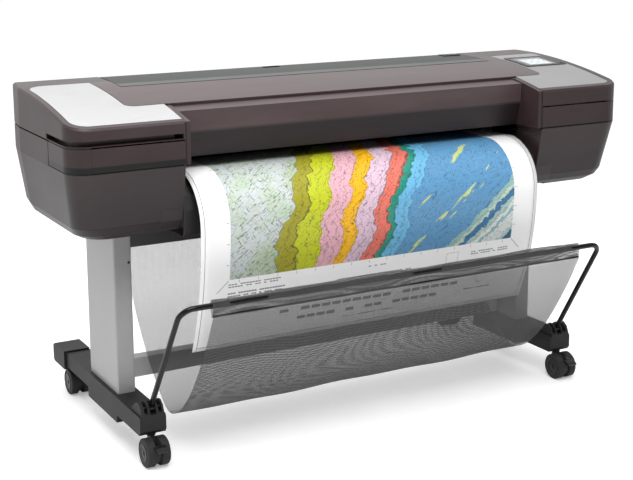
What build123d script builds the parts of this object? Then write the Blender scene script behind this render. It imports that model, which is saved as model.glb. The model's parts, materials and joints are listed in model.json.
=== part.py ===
from build123d import *
from math import cos, pi, radians, sin, sqrt
import os

# Large format plotter on a wheeled stand, in millimetres.
# +X is the machine's right as its user faces it, +Y is its back, +Z is up.
# The origin is on the floor, at the centre of the footprint.

os.makedirs("parts", exist_ok=True)

# ---------------------------------------------------------------- driving dimensions
HALF_WIDTH = 901.0        # half the width over both cabinets
CABINET_IN = 588.0        # inner face of a cabinet
CHEEK_IN = 572.0          # inner face of the cheek beside the window
CABINET_FRONT = -275.0
CABINET_BACK = 258.0
CORNER = 60.0             # plan radius of a cabinet's front outer corner
BACK_CORNER = 14.0
TAPER_LONG = 100.0        # the side runs in towards the back over this length
TAPER_IN = 14.0
WALL = 4.0                # moulded wall thickness

BODY_BOTTOM = 630.0       # underside of the cabinets
STRIP_SEAM = 665.0        # seam above the bottom strip
SHOULDER = 644.0          # where the bottom strip turns under
LOW_SEAM = 816.0          # seam under the ink door band
MID_SEAM = 883.0          # seam over the ink door band
SEAM = 4.0                # width of a visible seam
DOOR_GAP = 0.4            # gap round an ink door
RECESS_HIGH = 14.0        # finger recess over the left band
RECESS_DEEP = 20.0
RECESS_BACK = -88.0
TOP_HEIGHT = 997.0        # highest line of the crowned top
TOP_APEX_Y = 270.0
TOP_RADIUS = 2367.0       # crown radius of the top, seen from the side

LID_HALF = 695.0
LID_FRONT = -136.0
LID_BACK = 64.0
WING_BACK = 151.0         # the lid runs back on both sides of the roll cover
ROLL_COVER_HALF = 633.0
GRIP_X = (-114.0, -55.0)  # grip slot in the roll cover

PAPER_HALF = 559.0        # half of a 44 inch (1118 mm) sheet
PAPER_Z = 780.4           # underside of the sheet on the platen
PAPER_THICK = 0.8
PAPER_DROP_Y = -156.0     # where the sheet starts to curve down
PAPER_BEND = 140.0        # radius of the sheet over the front edge
PAPER_CURL = 864.0        # radius of the hanging sheet's curl
PAPER_CURL_ANGLE = 24.7

COLUMN_IN = 668.5
COLUMN_OUT = 721.0
COLUMN_FRONT = -65.0
COLUMN_BACK = 164.0
FOOT_IN = 658.0
FOOT_OUT = 734.0
FOOT_FRONT = -263.0
FOOT_BACK = 350.0
FOOT_TOP = 139.0
FOOT_BOTTOM = 94.0
FOOT_NOSE = 86.0          # underside of the front end of a foot
CAP_BOTTOM = 86.0
FOOT_STEP = 64.0          # underside of the deeper middle of a foot
FOOT_END = 455.5          # back of the end caps

WHEEL_RADIUS = 40.0
WHEEL_TRAIL = 25.0
STEM_RADIUS = 6.0
AXLE_RADIUS = 4.0
CHEEK_HALF = 6.0          # half the thickness of a caster's body
BRAKE_OUT = -38.0         # a brake lever's pin, from the wheels' axle
BRAKE_Z = 67.0
BRAKE_PIN = 2.0
BRAKE_HALF = 15.0
CASTER_X = 696.0
CASTER_FRONT_Y = -243.0
CASTER_REAR_Y = 388.0

PIVOT_X = 694.0           # basket frame pivots
PIVOT_Y = -243.0
PIVOT_Z = 156.0
PIN_RADIUS = 4.0
PIN_HALF = 26.0           # half the length of a pivot pin
TUBE_SLOT = 8.8           # half the width of the slot that the tube swings in
TUBE_RADIUS = 7.5
TUBE_TOP_X = 686.0
TUBE_TOP_Y = -446.0
TUBE_TOP_Z = 481.0
TUBE_BEND = 40.0

FABRIC_HALF = 600.0
FABRIC_THICK = 2.4
FABRIC_MIDDLE = (-345.0, 258.0)  # half way down the front panel
FABRIC_SPLIT = (-198.0, 104.0)   # where the two fabric panels meet
REAR_ROD_Y = 140.0
REAR_ROD_Z = 600.0
ROD_RADIUS = 5.0

WINDOW_HALF = 570.5
WINDOW_AXIS = (-143.0, 949.0)
DOOR_AXIS = (-268.0, 826.0)
DOOR_OUT = 843.0
ROLL_AXIS = (165.0, 905.0)
COVER_AXIS = (246.0, 905.0)

FEED_AXIS = (5.0, 765.0)
FEED_RADIUS = 15.0
PINCH_AXIS = (5.0, 792.9)
PINCH_RADIUS = 11.0
GEAR_MODULE = 1.25
GEAR_TEETH = 40
PINION_TEETH = 16
PINION_AXIS = (FEED_AXIS[0] + GEAR_MODULE * (GEAR_TEETH + PINION_TEETH) / 2, FEED_AXIS[1])
RAIL_AXIS = (-40.0, 850.0)
CARRIAGE_X = 712.0
PULLEY_X = 840.0
PULLEY_Y = -57.0
PULLEY_Z = 940.0
PULLEY_RADIUS = 10.0
RUNNING = 0.05            # radial clearance of a running fit

INNER_WALL_BACK = -150.0  # the cabinets are open to the middle behind this
BAND_BACK = -100.0         # back end of the band on a cabinet's outer side
COVER_END = 650.0         # ends of the lower cover
COVER_END_TOP = 696.0
INLET_X = (665.0, 740.0)
INLET_Z = (680.0, 722.0)
SWITCH_AXIS = (248.0, 701.0)
PANEL_X = (704.0, 868.0)  # control panel frame
PANEL_Y = (-46.0, 84.0)
SCREEN_X = (718.0, 842.0)
SCREEN_Y = (-34.0, 72.0)
BUTTON_XY = (855.0, -30.0)

SIDES = (("left", -1), ("right", 1))


def save(block, name):
    """Label a finished piece and write its STEP file."""
    block.part.label = name
    export_step(block.part, f"parts/{name}.step")


def box(x, y, z, mode=Mode.ADD):
    """A block between two limits along each axis."""
    size = (x[1] - x[0], y[1] - y[0], z[1] - z[0])
    with Locations(((x[0] + x[1]) / 2, (y[0] + y[1]) / 2, (z[0] + z[1]) / 2)):
        Box(*size, mode=mode)


def rod(start, direction, length, radius, mode=Mode.ADD):
    """A round bar or bore from a point, along X, Y or Z."""
    plane = Plane(origin=start, z_dir=direction)
    with BuildSketch(plane) as section:
        Circle(radius)
    extrude(section.sketch, amount=length, mode=mode)


def side_plane(x):
    """The plane of a side view: sketch X is +Y, sketch Y is +Z."""
    return Plane(origin=(x, 0, 0), x_dir=(0, 1, 0), z_dir=(1, 0, 0))


def crown(y, drop=0.0):
    """Height of the crowned top at a given depth, less a drop square to it."""
    radius = TOP_RADIUS - drop
    return TOP_HEIGHT - TOP_RADIUS + sqrt(radius ** 2 - (y - TOP_APEX_Y) ** 2)


def under_crown(x, y, bottom, drop, mode=Mode.ADD):
    """A block whose top is the crown lowered by drop."""
    middle = (y[0] + y[1]) / 2
    with BuildSketch(side_plane(x[0])) as profile:
        with BuildLine():
            ThreePointArc((y[0], crown(y[0], drop)), (middle, crown(middle, drop)),
                          (y[1], crown(y[1], drop)))
            Polyline((y[1], crown(y[1], drop)), (y[1], bottom), (y[0], bottom), (y[0], crown(y[0], drop)))
        make_face()
    extrude(profile.sketch, amount=x[1] - x[0], mode=mode)


def crown_band(x, y, lower, upper, mode=Mode.ADD):
    """A sheet that follows the crown, between two drops below it."""
    middle = (y[0] + y[1]) / 2
    with BuildSketch(side_plane(x[0])) as profile:
        with BuildLine():
            ThreePointArc((y[0], crown(y[0], upper)), (middle, crown(middle, upper)),
                          (y[1], crown(y[1], upper)))
            Line((y[1], crown(y[1], upper)), (y[1], crown(y[1], lower)))
            ThreePointArc((y[1], crown(y[1], lower)), (middle, crown(middle, lower)),
                          (y[0], crown(y[0], lower)))
            Line((y[0], crown(y[0], lower)), (y[0], crown(y[0], upper)))
        make_face()
    extrude(profile.sketch, amount=x[1] - x[0], mode=mode)


def cabinet_plan(z, side_in=0.0, front_in=0.0, back_in=0.0, wall=0.0):
    """Plan outline of the right-hand cabinet at a height."""
    x_out = HALF_WIDTH - side_in - wall
    y_front = CABINET_FRONT + front_in + wall
    y_back = CABINET_BACK - back_in - wall
    x_in = CABINET_IN + wall
    with BuildSketch(Plane.XY.offset(z)) as plan:
        with BuildLine():
            Polyline((x_in, y_front), (x_out, y_front), (x_out, CABINET_BACK - TAPER_LONG),
                     (x_out - TAPER_IN, y_back), (x_in, y_back), close=True)
        make_face()
        outer = plan.vertices().sort_by_distance((x_out, y_front, z))[0]
        fillet(outer, radius=CORNER - wall)
        outer = plan.vertices().sort_by_distance((x_out - TAPER_IN, y_back, z))[0]
        fillet(outer, radius=BACK_CORNER - min(wall, 10))
    return plan.sketch


def cabinet_skirt(wall=0.0, mode=Mode.ADD):
    """The tapering lower body of a cabinet, from the low seam down."""
    seam = cabinet_plan(LOW_SEAM, wall=wall)
    strip = cabinet_plan(STRIP_SEAM, side_in=22, front_in=29, back_in=8, wall=wall)
    shoulder = cabinet_plan(SHOULDER, side_in=33, front_in=39, back_in=12, wall=wall)
    floor = cabinet_plan(BODY_BOTTOM + wall, side_in=58 - wall, front_in=56 - wall, back_in=24 - wall,
                         wall=wall)
    for upper, lower in ((seam, strip), (strip, shoulder), (shoulder, floor)):
        loft([upper, lower], ruled=True, mode=mode)


def mirror_left(side):
    """Turn a part modelled on the right into its left-hand twin."""
    if side == "left":
        mirror(about=Plane.YZ, mode=Mode.REPLACE)


def gear_blank(centre, x, teeth, width, first_angle):
    """A spur gear along +X with straight-flanked teeth."""
    pitch = GEAR_MODULE * teeth / 2
    tip = pitch + 0.85 * GEAR_MODULE
    root = pitch - 1.15 * GEAR_MODULE
    half_pitch = pi / teeth
    with BuildSketch(side_plane(x)) as profile:
        with Locations(centre):
            Circle(root)
        for tooth in range(teeth):
            middle = radians(first_angle) + 2 * pi * tooth / teeth
            flank = []
            for radius, share in ((root - 0.5, 0.58), (tip, 0.22), (tip, -0.22), (root - 0.5, -0.58)):
                angle = middle + share * half_pitch
                flank.append((centre[0] + radius * cos(angle), centre[1] + radius * sin(angle)))
            with BuildLine():
                Polyline(*flank, close=True)
            make_face()
    extrude(profile.sketch, amount=width)


# ---------------------------------------------------------------- stand
def make_feet():
    """Low beams from front to back, deeper in the middle, with pivot ears in front."""
    for side, sign in SIDES:
        with BuildPart() as foot:
            with BuildSketch(side_plane(FOOT_IN)):
                with BuildLine():
                    Polyline(
                        (FOOT_FRONT, FOOT_NOSE + 10), (FOOT_FRONT + 8, FOOT_NOSE),
                        (-84, FOOT_NOSE), (-84, FOOT_STEP), (155, FOOT_STEP), (155, FOOT_BOTTOM),
                        (FOOT_BACK, FOOT_BOTTOM), (FOOT_BACK, FOOT_TOP), (FOOT_FRONT + 6, FOOT_TOP),
                        (FOOT_FRONT, FOOT_TOP - 6), close=True)
                make_face()
            extrude(amount=FOOT_OUT - FOOT_IN)
            with BuildSketch(side_plane(FOOT_IN + 5)):
                with BuildLine():
                    Polyline((FOOT_FRONT, 130), (FOOT_FRONT, 143), (-254, 162), (-240, 172), (-226, 172),
                             (-178, FOOT_TOP), (-178, 130), close=True)
                make_face()
            extrude(amount=FOOT_OUT - FOOT_IN - 10)
            # the slot that the tube swings in, between two pockets
            for low, high, floor in ((-TUBE_SLOT, TUBE_SLOT, 142), (-25, -15, 146), (15, 25, 146)):
                box((PIVOT_X + low, PIVOT_X + high), (FOOT_FRONT - 1, -214), (floor, 175), Mode.SUBTRACT)
            rod((PIVOT_X - PIN_HALF, PIVOT_Y, PIVOT_Z), (1, 0, 0), 2 * PIN_HALF, PIN_RADIUS, Mode.SUBTRACT)
            rod((CASTER_X, CASTER_FRONT_Y, FOOT_NOSE - 1), (0, 0, 1), 38, STEM_RADIUS + RUNNING,
                Mode.SUBTRACT)
            mirror_left(side)
        save(foot, f"{side}_foot")


def make_end_caps():
    """Moulded caps that close the feet at the back and carry the rear casters."""
    with BuildPart() as caps:
        for side, sign in SIDES:
            x_low = sign * 701 - 41
            with BuildSketch(side_plane(x_low)):
                with BuildLine():
                    Polyline((FOOT_BACK, CAP_BOTTOM), (FOOT_END - 8, CAP_BOTTOM), (FOOT_END, 94),
                             (FOOT_END, 136),
                             (FOOT_END - 10, 144), (FOOT_BACK, 144), close=True)
                make_face()
            extrude(amount=82)
            rod((sign * CASTER_X, CASTER_REAR_Y, CAP_BOTTOM), (0, 0, 1), 38, STEM_RADIUS + RUNNING,
                Mode.SUBTRACT)
    save(caps, "foot_end_caps")


def make_columns():
    """Rectangular hollow uprights, closed top and bottom."""
    for side, sign in SIDES:
        with BuildPart() as column:
            with BuildSketch(Plane.XY.offset(FOOT_TOP)) as plan:
                with Locations(((COLUMN_IN + COLUMN_OUT) / 2, (COLUMN_FRONT + COLUMN_BACK) / 2)):
                    RectangleRounded(COLUMN_OUT - COLUMN_IN, COLUMN_BACK - COLUMN_FRONT, 5)
            extrude(amount=BODY_BOTTOM - 1 - FOOT_TOP)
            box((COLUMN_IN + 3, COLUMN_OUT - 3), (COLUMN_FRONT + 3, COLUMN_BACK - 3),
                (FOOT_TOP + 3, BODY_BOTTOM - 4), Mode.SUBTRACT)
            rod((COLUMN_IN + 8, COLUMN_FRONT - 1, 516), (0, 1, 0), 6, 3.5, Mode.SUBTRACT)
            mirror_left(side)
        save(column, f"{side}_column")


def make_beams():
    """The low crossbar and the beam under the printer, both between the columns."""
    with BuildPart() as crossbar:
        box((-COLUMN_IN, COLUMN_IN), (38, 78), (141, 198))
        box((-COLUMN_IN + 4, COLUMN_IN - 4), (40, 76), (143, 196), Mode.SUBTRACT)
    save(crossbar, "crossbar")
    with BuildPart() as beam:
        box((-COLUMN_IN, COLUMN_IN), (-60, 60), (557, BODY_BOTTOM - 2))
        box((-COLUMN_IN + 4, COLUMN_IN - 4), (-57, 57), (560, BODY_BOTTOM - 5), Mode.SUBTRACT)
    save(beam, "top_beam")


def make_casters():
    """Twin-wheel swivel casters: a narrow body with its stem, and a wheel pair on an axle."""
    for end, stem_y in (("front", CASTER_FRONT_Y), ("rear", CASTER_REAR_Y)):
        wheel_y = stem_y - WHEEL_TRAIL
        for side, sign in SIDES:
            x = sign * CASTER_X
            with BuildPart() as body:
                with BuildSketch(side_plane(x - CHEEK_HALF)):
                    with Locations((wheel_y, WHEEL_RADIUS)):
                        Circle(WHEEL_RADIUS - 6)
                    with BuildLine():
                        Polyline((wheel_y - 4, 70), (wheel_y + 20, 30), (stem_y + 12, 56),
                                 (stem_y + 12, 80),
                                 (stem_y - 12, 80), close=True)
                    make_face()
                    if end == "front":
                        with BuildLine():
                            Polyline((wheel_y, 72), (wheel_y - 22, 56),
                                     (wheel_y + BRAKE_OUT - 4, BRAKE_Z - 4),
                                     (wheel_y + BRAKE_OUT - 4, BRAKE_Z + 4), (wheel_y - 12, 76), close=True)
                        make_face()
                extrude(amount=2 * CHEEK_HALF)
                rod((x, stem_y, 79.5), (0, 0, 1), FOOT_NOSE - 0.5 - 79.5, 13)
                rod((x, stem_y, 60), (0, 0, 1), 58, STEM_RADIUS)
                rod((x - 20, wheel_y, WHEEL_RADIUS), (1, 0, 0), 40, AXLE_RADIUS + RUNNING, Mode.SUBTRACT)
                if end == "front":
                    rod((x - 20, wheel_y + BRAKE_OUT, BRAKE_Z), (1, 0, 0), 40, BRAKE_PIN + RUNNING,
                        Mode.SUBTRACT)
            save(body, f"{end}_{side}_caster")
            with BuildPart() as wheel:
                for start in (x - 32, x + 7):
                    with BuildSketch(side_plane(start)):
                        with Locations((wheel_y, WHEEL_RADIUS)):
                            Circle(WHEEL_RADIUS)
                    extrude(amount=25)
                chamfer(wheel.edges().filter_by(GeomType.CIRCLE), 2.5)
                rod((x - 10, wheel_y, WHEEL_RADIUS), (1, 0, 0), 20, AXLE_RADIUS)
            save(wheel, f"{end}_{side}_wheel")


def make_brakes():
    """Foot levers in front of the front casters, pivoted on the nose of the caster body."""
    for side, sign in SIDES:
        x = sign * CASTER_X
        y = CASTER_FRONT_Y - WHEEL_TRAIL + BRAKE_OUT
        with BuildPart() as lever:
            with BuildSketch(side_plane(x - BRAKE_HALF)):
                with Locations((y, BRAKE_Z)):
                    Circle(3.6)
                with BuildLine():
                    Polyline((y + 1, BRAKE_Z + 3.5), (y - 12, BRAKE_Z), (y - 24, BRAKE_Z - 8),
                             (y - 22, BRAKE_Z - 11),
                             (y - 10, BRAKE_Z - 4), (y - 1, BRAKE_Z - 3.4), close=True)
                make_face()
            extrude(amount=2 * BRAKE_HALF)
            box((x - CHEEK_HALF - 0.5, x + CHEEK_HALF + 0.5), (y - 5, y + 8),
                (BRAKE_Z - 9, BRAKE_Z + 9), Mode.SUBTRACT)
            rod((x - BRAKE_HALF, y, BRAKE_Z), (1, 0, 0), 2 * BRAKE_HALF, BRAKE_PIN)
        save(lever, f"{side}_brake_lever")


# ---------------------------------------------------------------- basket
def fabric_profile(part):
    """Side view of the fabric: the front panel from the hem, or the rear one up to its rod."""
    with BuildSketch(side_plane(-FABRIC_HALF)) as profile:
        with BuildLine():
            if part == "front":
                ThreePointArc((TUBE_TOP_Y + 1, TUBE_TOP_Z - 32), FABRIC_MIDDLE, FABRIC_SPLIT)
            else:
                floor = TangentArc((FABRIC_SPLIT[0] + 1.5, FABRIC_SPLIT[1] - 0.6), (-60, 132),
                                   tangent=(0.93, -0.36))
                slope = TangentArc(floor @ 1, (124, 370), tangent=floor % 1)
                bend = TangentArc(slope @ 1, (145, 450), tangent=slope % 1)
                Line(bend @ 1, (REAR_ROD_Y + ROD_RADIUS + 1.6, REAR_ROD_Z - 2))
        trace(line_width=FABRIC_THICK)
    return profile.sketch


def make_basket():
    """Bent tube frame on foot pivots, with a mesh sheet hung from it and from a rear rod."""
    with BuildPart() as tube:
        with BuildLine() as path:
            FilletPolyline(
                (-PIVOT_X, PIVOT_Y, PIVOT_Z), (-TUBE_TOP_X, TUBE_TOP_Y, TUBE_TOP_Z),
                (TUBE_TOP_X, TUBE_TOP_Y, TUBE_TOP_Z), (PIVOT_X, PIVOT_Y, PIVOT_Z), radius=TUBE_BEND)
        with BuildSketch(Plane(origin=path.line @ 0, z_dir=path.line % 0)):
            Circle(TUBE_RADIUS)
        sweep()
        for sign in (-1, 1):
            rod((sign * PIVOT_X - 7, PIVOT_Y, PIVOT_Z), (1, 0, 0), 14, 11)
            rod((sign * PIVOT_X - 9, PIVOT_Y, PIVOT_Z), (1, 0, 0), 18, PIN_RADIUS + RUNNING, Mode.SUBTRACT)
    save(tube, "basket_tube")
    with BuildPart() as pins:
        for sign in (-1, 1):
            rod((sign * PIVOT_X - PIN_HALF, PIVOT_Y, PIVOT_Z), (1, 0, 0), 2 * PIN_HALF, PIN_RADIUS)
    save(pins, "basket_pivot_pins")
    for part in ("front", "rear"):
        with BuildPart() as panel:
            extrude(fabric_profile(part), amount=2 * FABRIC_HALF)
            if part == "front":
                with BuildSketch(side_plane(-FABRIC_HALF)):
                    with Locations((TUBE_TOP_Y, TUBE_TOP_Z)):
                        Circle(TUBE_RADIUS + 2.0)
                        Circle(TUBE_RADIUS + 0.3, mode=Mode.SUBTRACT)
                    with BuildLine():
                        Line((TUBE_TOP_Y + 0.2, TUBE_TOP_Z - TUBE_RADIUS - 1),
                             (TUBE_TOP_Y + 1, TUBE_TOP_Z - 32))
                    trace(line_width=FABRIC_THICK)
                extrude(amount=2 * FABRIC_HALF)
        save(panel, f"basket_{part}_panel")
    with BuildPart() as hem_rod:
        rod((-FABRIC_HALF + 2, TUBE_TOP_Y - 3.5, TUBE_TOP_Z - 28), (1, 0, 0), 2 * FABRIC_HALF - 4, 3.0)
    save(hem_rod, "basket_hem_rod")
    with BuildPart() as rear_rod:
        rod((-COLUMN_IN, REAR_ROD_Y, REAR_ROD_Z), (1, 0, 0), 2 * COLUMN_IN, ROD_RADIUS)
    save(rear_rod, "basket_rear_rod")


# ---------------------------------------------------------------- cabinets
def cover_end(grow):
    """Front view of the end of the lower cover that fills a cabinet's lower inner corner."""
    with BuildSketch(Plane.XZ.offset(10 - INNER_WALL_BACK)) as shape:
        with BuildLine():
            Polyline((CABINET_IN - 0.2 - grow, BODY_BOTTOM - 5), (COVER_END + grow, BODY_BOTTOM - 5),
                     (COVER_END + grow, COVER_END_TOP + grow), (CABINET_IN - 0.2 - grow,
                                                                COVER_END_TOP + grow), close=True)
        make_face()
        corner = shape.vertices().sort_by_distance((COVER_END + grow, 0, COVER_END_TOP + grow))[0]
        fillet(corner, radius=24)
    return shape.sketch


def make_cabinet_lower():
    """Tapering lower shells, cut away inside, with a shelf for the ink bay."""
    with BuildPart() as shelf:
        extrude(cabinet_plan(LOW_SEAM - 8, wall=3), amount=4)
        box((CABINET_IN, HALF_WIDTH), (INNER_WALL_BACK, CABINET_BACK), (LOW_SEAM - 9, LOW_SEAM),
            Mode.SUBTRACT)
    for side, sign in SIDES:
        with BuildPart() as lower:
            cabinet_skirt()
            extrude(cabinet_plan(LOW_SEAM), amount=MID_SEAM - SEAM / 2 - LOW_SEAM)
            cabinet_skirt(WALL, Mode.SUBTRACT)
            extrude(cabinet_plan(LOW_SEAM, wall=WALL), amount=100, mode=Mode.SUBTRACT)
            # the band and the door take the front above the low seam
            box((CABINET_IN - 1, HALF_WIDTH + 1), (CABINET_FRONT - 1, BAND_BACK + SEAM),
                (LOW_SEAM, MID_SEAM + 1), Mode.SUBTRACT)
            # open inner side behind the front corner
            box((CABINET_IN - 1, CABINET_IN + WALL + 1), (INNER_WALL_BACK, CABINET_BACK - 20),
                (BODY_BOTTOM + WALL, MID_SEAM + 1), Mode.SUBTRACT)
            add(shelf.part)
            extrude(cover_end(DOOR_GAP), amount=130, mode=Mode.SUBTRACT)
            # room for the door's lower edge to swing
            box((CABINET_IN - 1, DOOR_OUT + DOOR_GAP), (-273, -262), (LOW_SEAM - 2, LOW_SEAM + 1),
                Mode.SUBTRACT)
            if side == "left":
                box((INLET_X[0] - 1, INLET_X[1] + 1), (225, 262), (INLET_Z[0] - 1, INLET_Z[1] + 1),
                    Mode.SUBTRACT)
            mirror_left(side)
        save(lower, f"{side}_cabinet_lower")


def make_cabinet_upper():
    """Upper shells with the crowned top, the pocket for the top panel and the inner cheek."""
    bottom = MID_SEAM + SEAM / 2
    with BuildPart() as hollow:
        extrude(cabinet_plan(bottom - 1, wall=WALL), amount=130)
        under_crown((CABINET_IN - 20, HALF_WIDTH + 20), (-320, 300), bottom - 40, 4 + WALL, Mode.INTERSECT)
    with BuildPart() as pocket:
        extrude(top_outline(bottom, 0.5), amount=130)
        crown_band((CABINET_IN - 20, HALF_WIDTH + 20), (-320, 300), 4, -30, Mode.INTERSECT)
    with BuildPart() as channel:
        extrude(cabinet_plan(bottom, wall=WALL - 1), amount=RECESS_HIGH + 5)
        extrude(cabinet_plan(bottom, wall=RECESS_DEEP + 4), amount=RECESS_HIGH + 5, mode=Mode.SUBTRACT)
        box((CABINET_IN, HALF_WIDTH), (RECESS_BACK + 3, CABINET_BACK), (bottom, bottom + 40), Mode.SUBTRACT)
        # nothing in the way of the carriage
        box((CABINET_IN, CABINET_IN + RECESS_DEEP + 5), (CABINET_FRONT + RECESS_DEEP + 4, CABINET_BACK),
            (bottom, bottom + 40), Mode.SUBTRACT)
    with BuildPart() as groove:
        extrude(cabinet_plan(bottom + 2, wall=-1), amount=RECESS_HIGH)
        extrude(cabinet_plan(bottom + 2, wall=RECESS_DEEP + 1), amount=RECESS_HIGH, mode=Mode.SUBTRACT)
        box((CABINET_IN - 2, HALF_WIDTH + 2), (RECESS_BACK, CABINET_BACK + 2), (bottom, bottom + 40),
            Mode.SUBTRACT)
        box((CABINET_IN - 2, CABINET_IN + WALL), (CABINET_FRONT - 2, CABINET_BACK),
            (bottom, bottom + 40), Mode.SUBTRACT)
    for side, sign in SIDES:
        with BuildPart() as upper:
            extrude(cabinet_plan(bottom), amount=130)
            under_crown((CABINET_IN - 20, HALF_WIDTH + 20), (-320, 300), bottom - 40, 1.0, Mode.INTERSECT)
            top_edges = upper.faces().sort_by(Axis.Z)[-1].edges()
            rim = [edge for edge in top_edges if edge.center().X > CABINET_IN + 1]
            chamfer(rim, 5)
            add(hollow.part, mode=Mode.SUBTRACT)
            box((CABINET_IN - 1, CABINET_IN + WALL + 1), (INNER_WALL_BACK, CABINET_BACK - 14),
                (bottom - 1, 956), Mode.SUBTRACT)
            # cheek beside the window, narrow where the carriage passes
            under_crown((CHEEK_IN, CABINET_IN), (CABINET_FRONT + 1, INNER_WALL_BACK), LOW_SEAM + 1.5, 2.0)
            under_crown((CHEEK_IN, CABINET_IN), (INNER_WALL_BACK, -130), 906, 4.0)
            add(pocket.part, mode=Mode.SUBTRACT)
            box((CHEEK_IN - 1, ROLL_COVER_HALF + 1.5), (LID_BACK + 1, CABINET_BACK + 1),
                (bottom - 1, 1010), Mode.SUBTRACT)
            rod((CHEEK_IN - 1, *WINDOW_AXIS), (1, 0, 0), 12, 3.0 + RUNNING, Mode.SUBTRACT)
            rod((CABINET_IN - 5, *DOOR_AXIS), (1, 0, 0), 6, 2.5 + RUNNING, Mode.SUBTRACT)
            if side == "left":
                # finger recess over the band, back round the corner
                add(channel.part)
                add(groove.part, mode=Mode.SUBTRACT)
            else:
                box((PANEL_X[0] + 3, PANEL_X[1] - 3), (PANEL_Y[0] + 3, PANEL_Y[1] - 3), (940, 1010),
                    Mode.SUBTRACT)
            mirror_left(side)
        save(upper, f"{side}_cabinet_upper")


def top_outline(z, grow):
    """Plan of the top panel before the lid is taken out of it."""
    x_out = 880.5 + grow
    y_front = -254.5 - grow
    y_back = 151.5 + grow
    x_in = CABINET_IN + 0.5 - grow
    with BuildSketch(Plane.XY.offset(z)) as plan:
        with BuildLine():
            Line((x_in, y_front), (x_out - 42, y_front))
            TangentArc((x_out - 42, y_front), (x_out, y_front + 42), tangent=(1, 0))
            Line((x_out, y_front + 42), (x_out, y_back - 50))
            TangentArc((x_out, y_back - 50), (x_out - 50, y_back), tangent=(0, 1))
            Polyline((x_out - 50, y_back), (x_in, y_back), (x_in, y_front))
        make_face()
    return plan.sketch


def make_top_panels():
    """Brushed sheets, L-shaped around the lid's front corners, that follow the crown."""
    outline = top_outline(0, 0)
    for side, sign in SIDES:
        with BuildPart() as panel:
            with BuildSketch(Plane.XY.offset(900)) as plan:
                add(outline)
                with BuildLine():
                    Polyline((500, LID_FRONT - 1), (LID_HALF + 1, LID_FRONT - 1), (LID_HALF + 1, 400),
                             (500, 400), close=True)
                make_face(mode=Mode.SUBTRACT)
                corner = plan.vertices().sort_by_distance((LID_HALF + 1, LID_FRONT - 1, 900))[0]
                fillet(corner, radius=26)
                if side == "right":
                    with Locations(((PANEL_X[0] + PANEL_X[1]) / 2, (PANEL_Y[0] + PANEL_Y[1]) / 2)):
                        Rectangle(PANEL_X[1] - PANEL_X[0] - 6, PANEL_Y[1] - PANEL_Y[0] - 6,
                                  mode=Mode.SUBTRACT)
            extrude(amount=110)
            crown_band((400, HALF_WIDTH + 20), (-320, 300), 4, 0.5, Mode.INTERSECT)
            mirror_left(side)
        save(panel, f"{side}_top_panel")


def make_bands():
    """Corner bands beside the ink doors, with a tongue behind the seams."""
    for side, sign in SIDES:
        with BuildPart() as inner:
            extrude(cabinet_plan(LOW_SEAM - 1, wall=9), amount=80)
        with BuildPart() as band:
            extrude(cabinet_plan(LOW_SEAM + SEAM / 2), amount=MID_SEAM - LOW_SEAM - SEAM)
            extrude(cabinet_plan(LOW_SEAM, wall=3), amount=MID_SEAM + SEAM / 2 - LOW_SEAM)
            add(inner.part, mode=Mode.SUBTRACT)
            box((CABINET_IN - 1, DOOR_OUT + DOOR_GAP), (CABINET_FRONT - 1, 260),
                (LOW_SEAM - 2, MID_SEAM + 5), Mode.SUBTRACT)
            box((CABINET_IN - 1, HALF_WIDTH + 1), (BAND_BACK, 260), (LOW_SEAM - 2, MID_SEAM + 5),
                Mode.SUBTRACT)
            box((DOOR_OUT + DOOR_GAP, DOOR_OUT + 9), (CABINET_FRONT + 2, DOOR_AXIS[0] + 6),
                (LOW_SEAM, DOOR_AXIS[1] + 8))
            rod((DOOR_OUT, *DOOR_AXIS), (1, 0, 0), 6, 2.5 + RUNNING, Mode.SUBTRACT)
            mirror_left(side)
        save(band, f"{side}_band")


def make_ink_doors():
    """Drop-down doors in front of the cartridges, pivoted along their lower edge."""
    for side, sign in SIDES:
        with BuildPart() as door:
            box((CABINET_IN + DOOR_GAP, DOOR_OUT), (CABINET_FRONT, DOOR_AXIS[0]),
                (LOW_SEAM + SEAM / 2, MID_SEAM - SEAM / 2))
            rod((CABINET_IN + DOOR_GAP, *DOOR_AXIS), (1, 0, 0), DOOR_OUT - CABINET_IN - DOOR_GAP, 4.5)
            rod((CABINET_IN - 3, *DOOR_AXIS), (1, 0, 0), DOOR_OUT + 4 - CABINET_IN + 3, 2.5)
            mirror_left(side)
        save(door, f"{side}_ink_door")


def make_top_cover():
    """Crowned lid over the carriage, with a skirt behind the window's hinge."""
    with BuildPart() as lid:
        with BuildSketch(Plane.XY.offset(900)) as plan:
            with BuildLine():
                Polyline((-LID_HALF, LID_FRONT), (LID_HALF, LID_FRONT), (LID_HALF, WING_BACK),
                         (ROLL_COVER_HALF + 2, WING_BACK), (ROLL_COVER_HALF + 2, LID_BACK),
                         (-ROLL_COVER_HALF - 2, LID_BACK), (-ROLL_COVER_HALF - 2, WING_BACK),
                         (-LID_HALF, WING_BACK), close=True)
            make_face()
            fillet(plan.vertices().group_by(Axis.Y)[0], radius=25)
        extrude(amount=110)
        crown_band((-LID_HALF - 10, LID_HALF + 10), (-320, 300), 4, 0, Mode.INTERSECT)
        box((-CHEEK_IN + 2, CHEEK_IN - 2), (LID_FRONT + 1, LID_FRONT + 4), (938, 961))
        box((-CHEEK_IN + 2, CHEEK_IN - 2), (LID_BACK - 4, LID_BACK - 1), (958, 986))
    save(lid, "top_cover")


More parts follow.
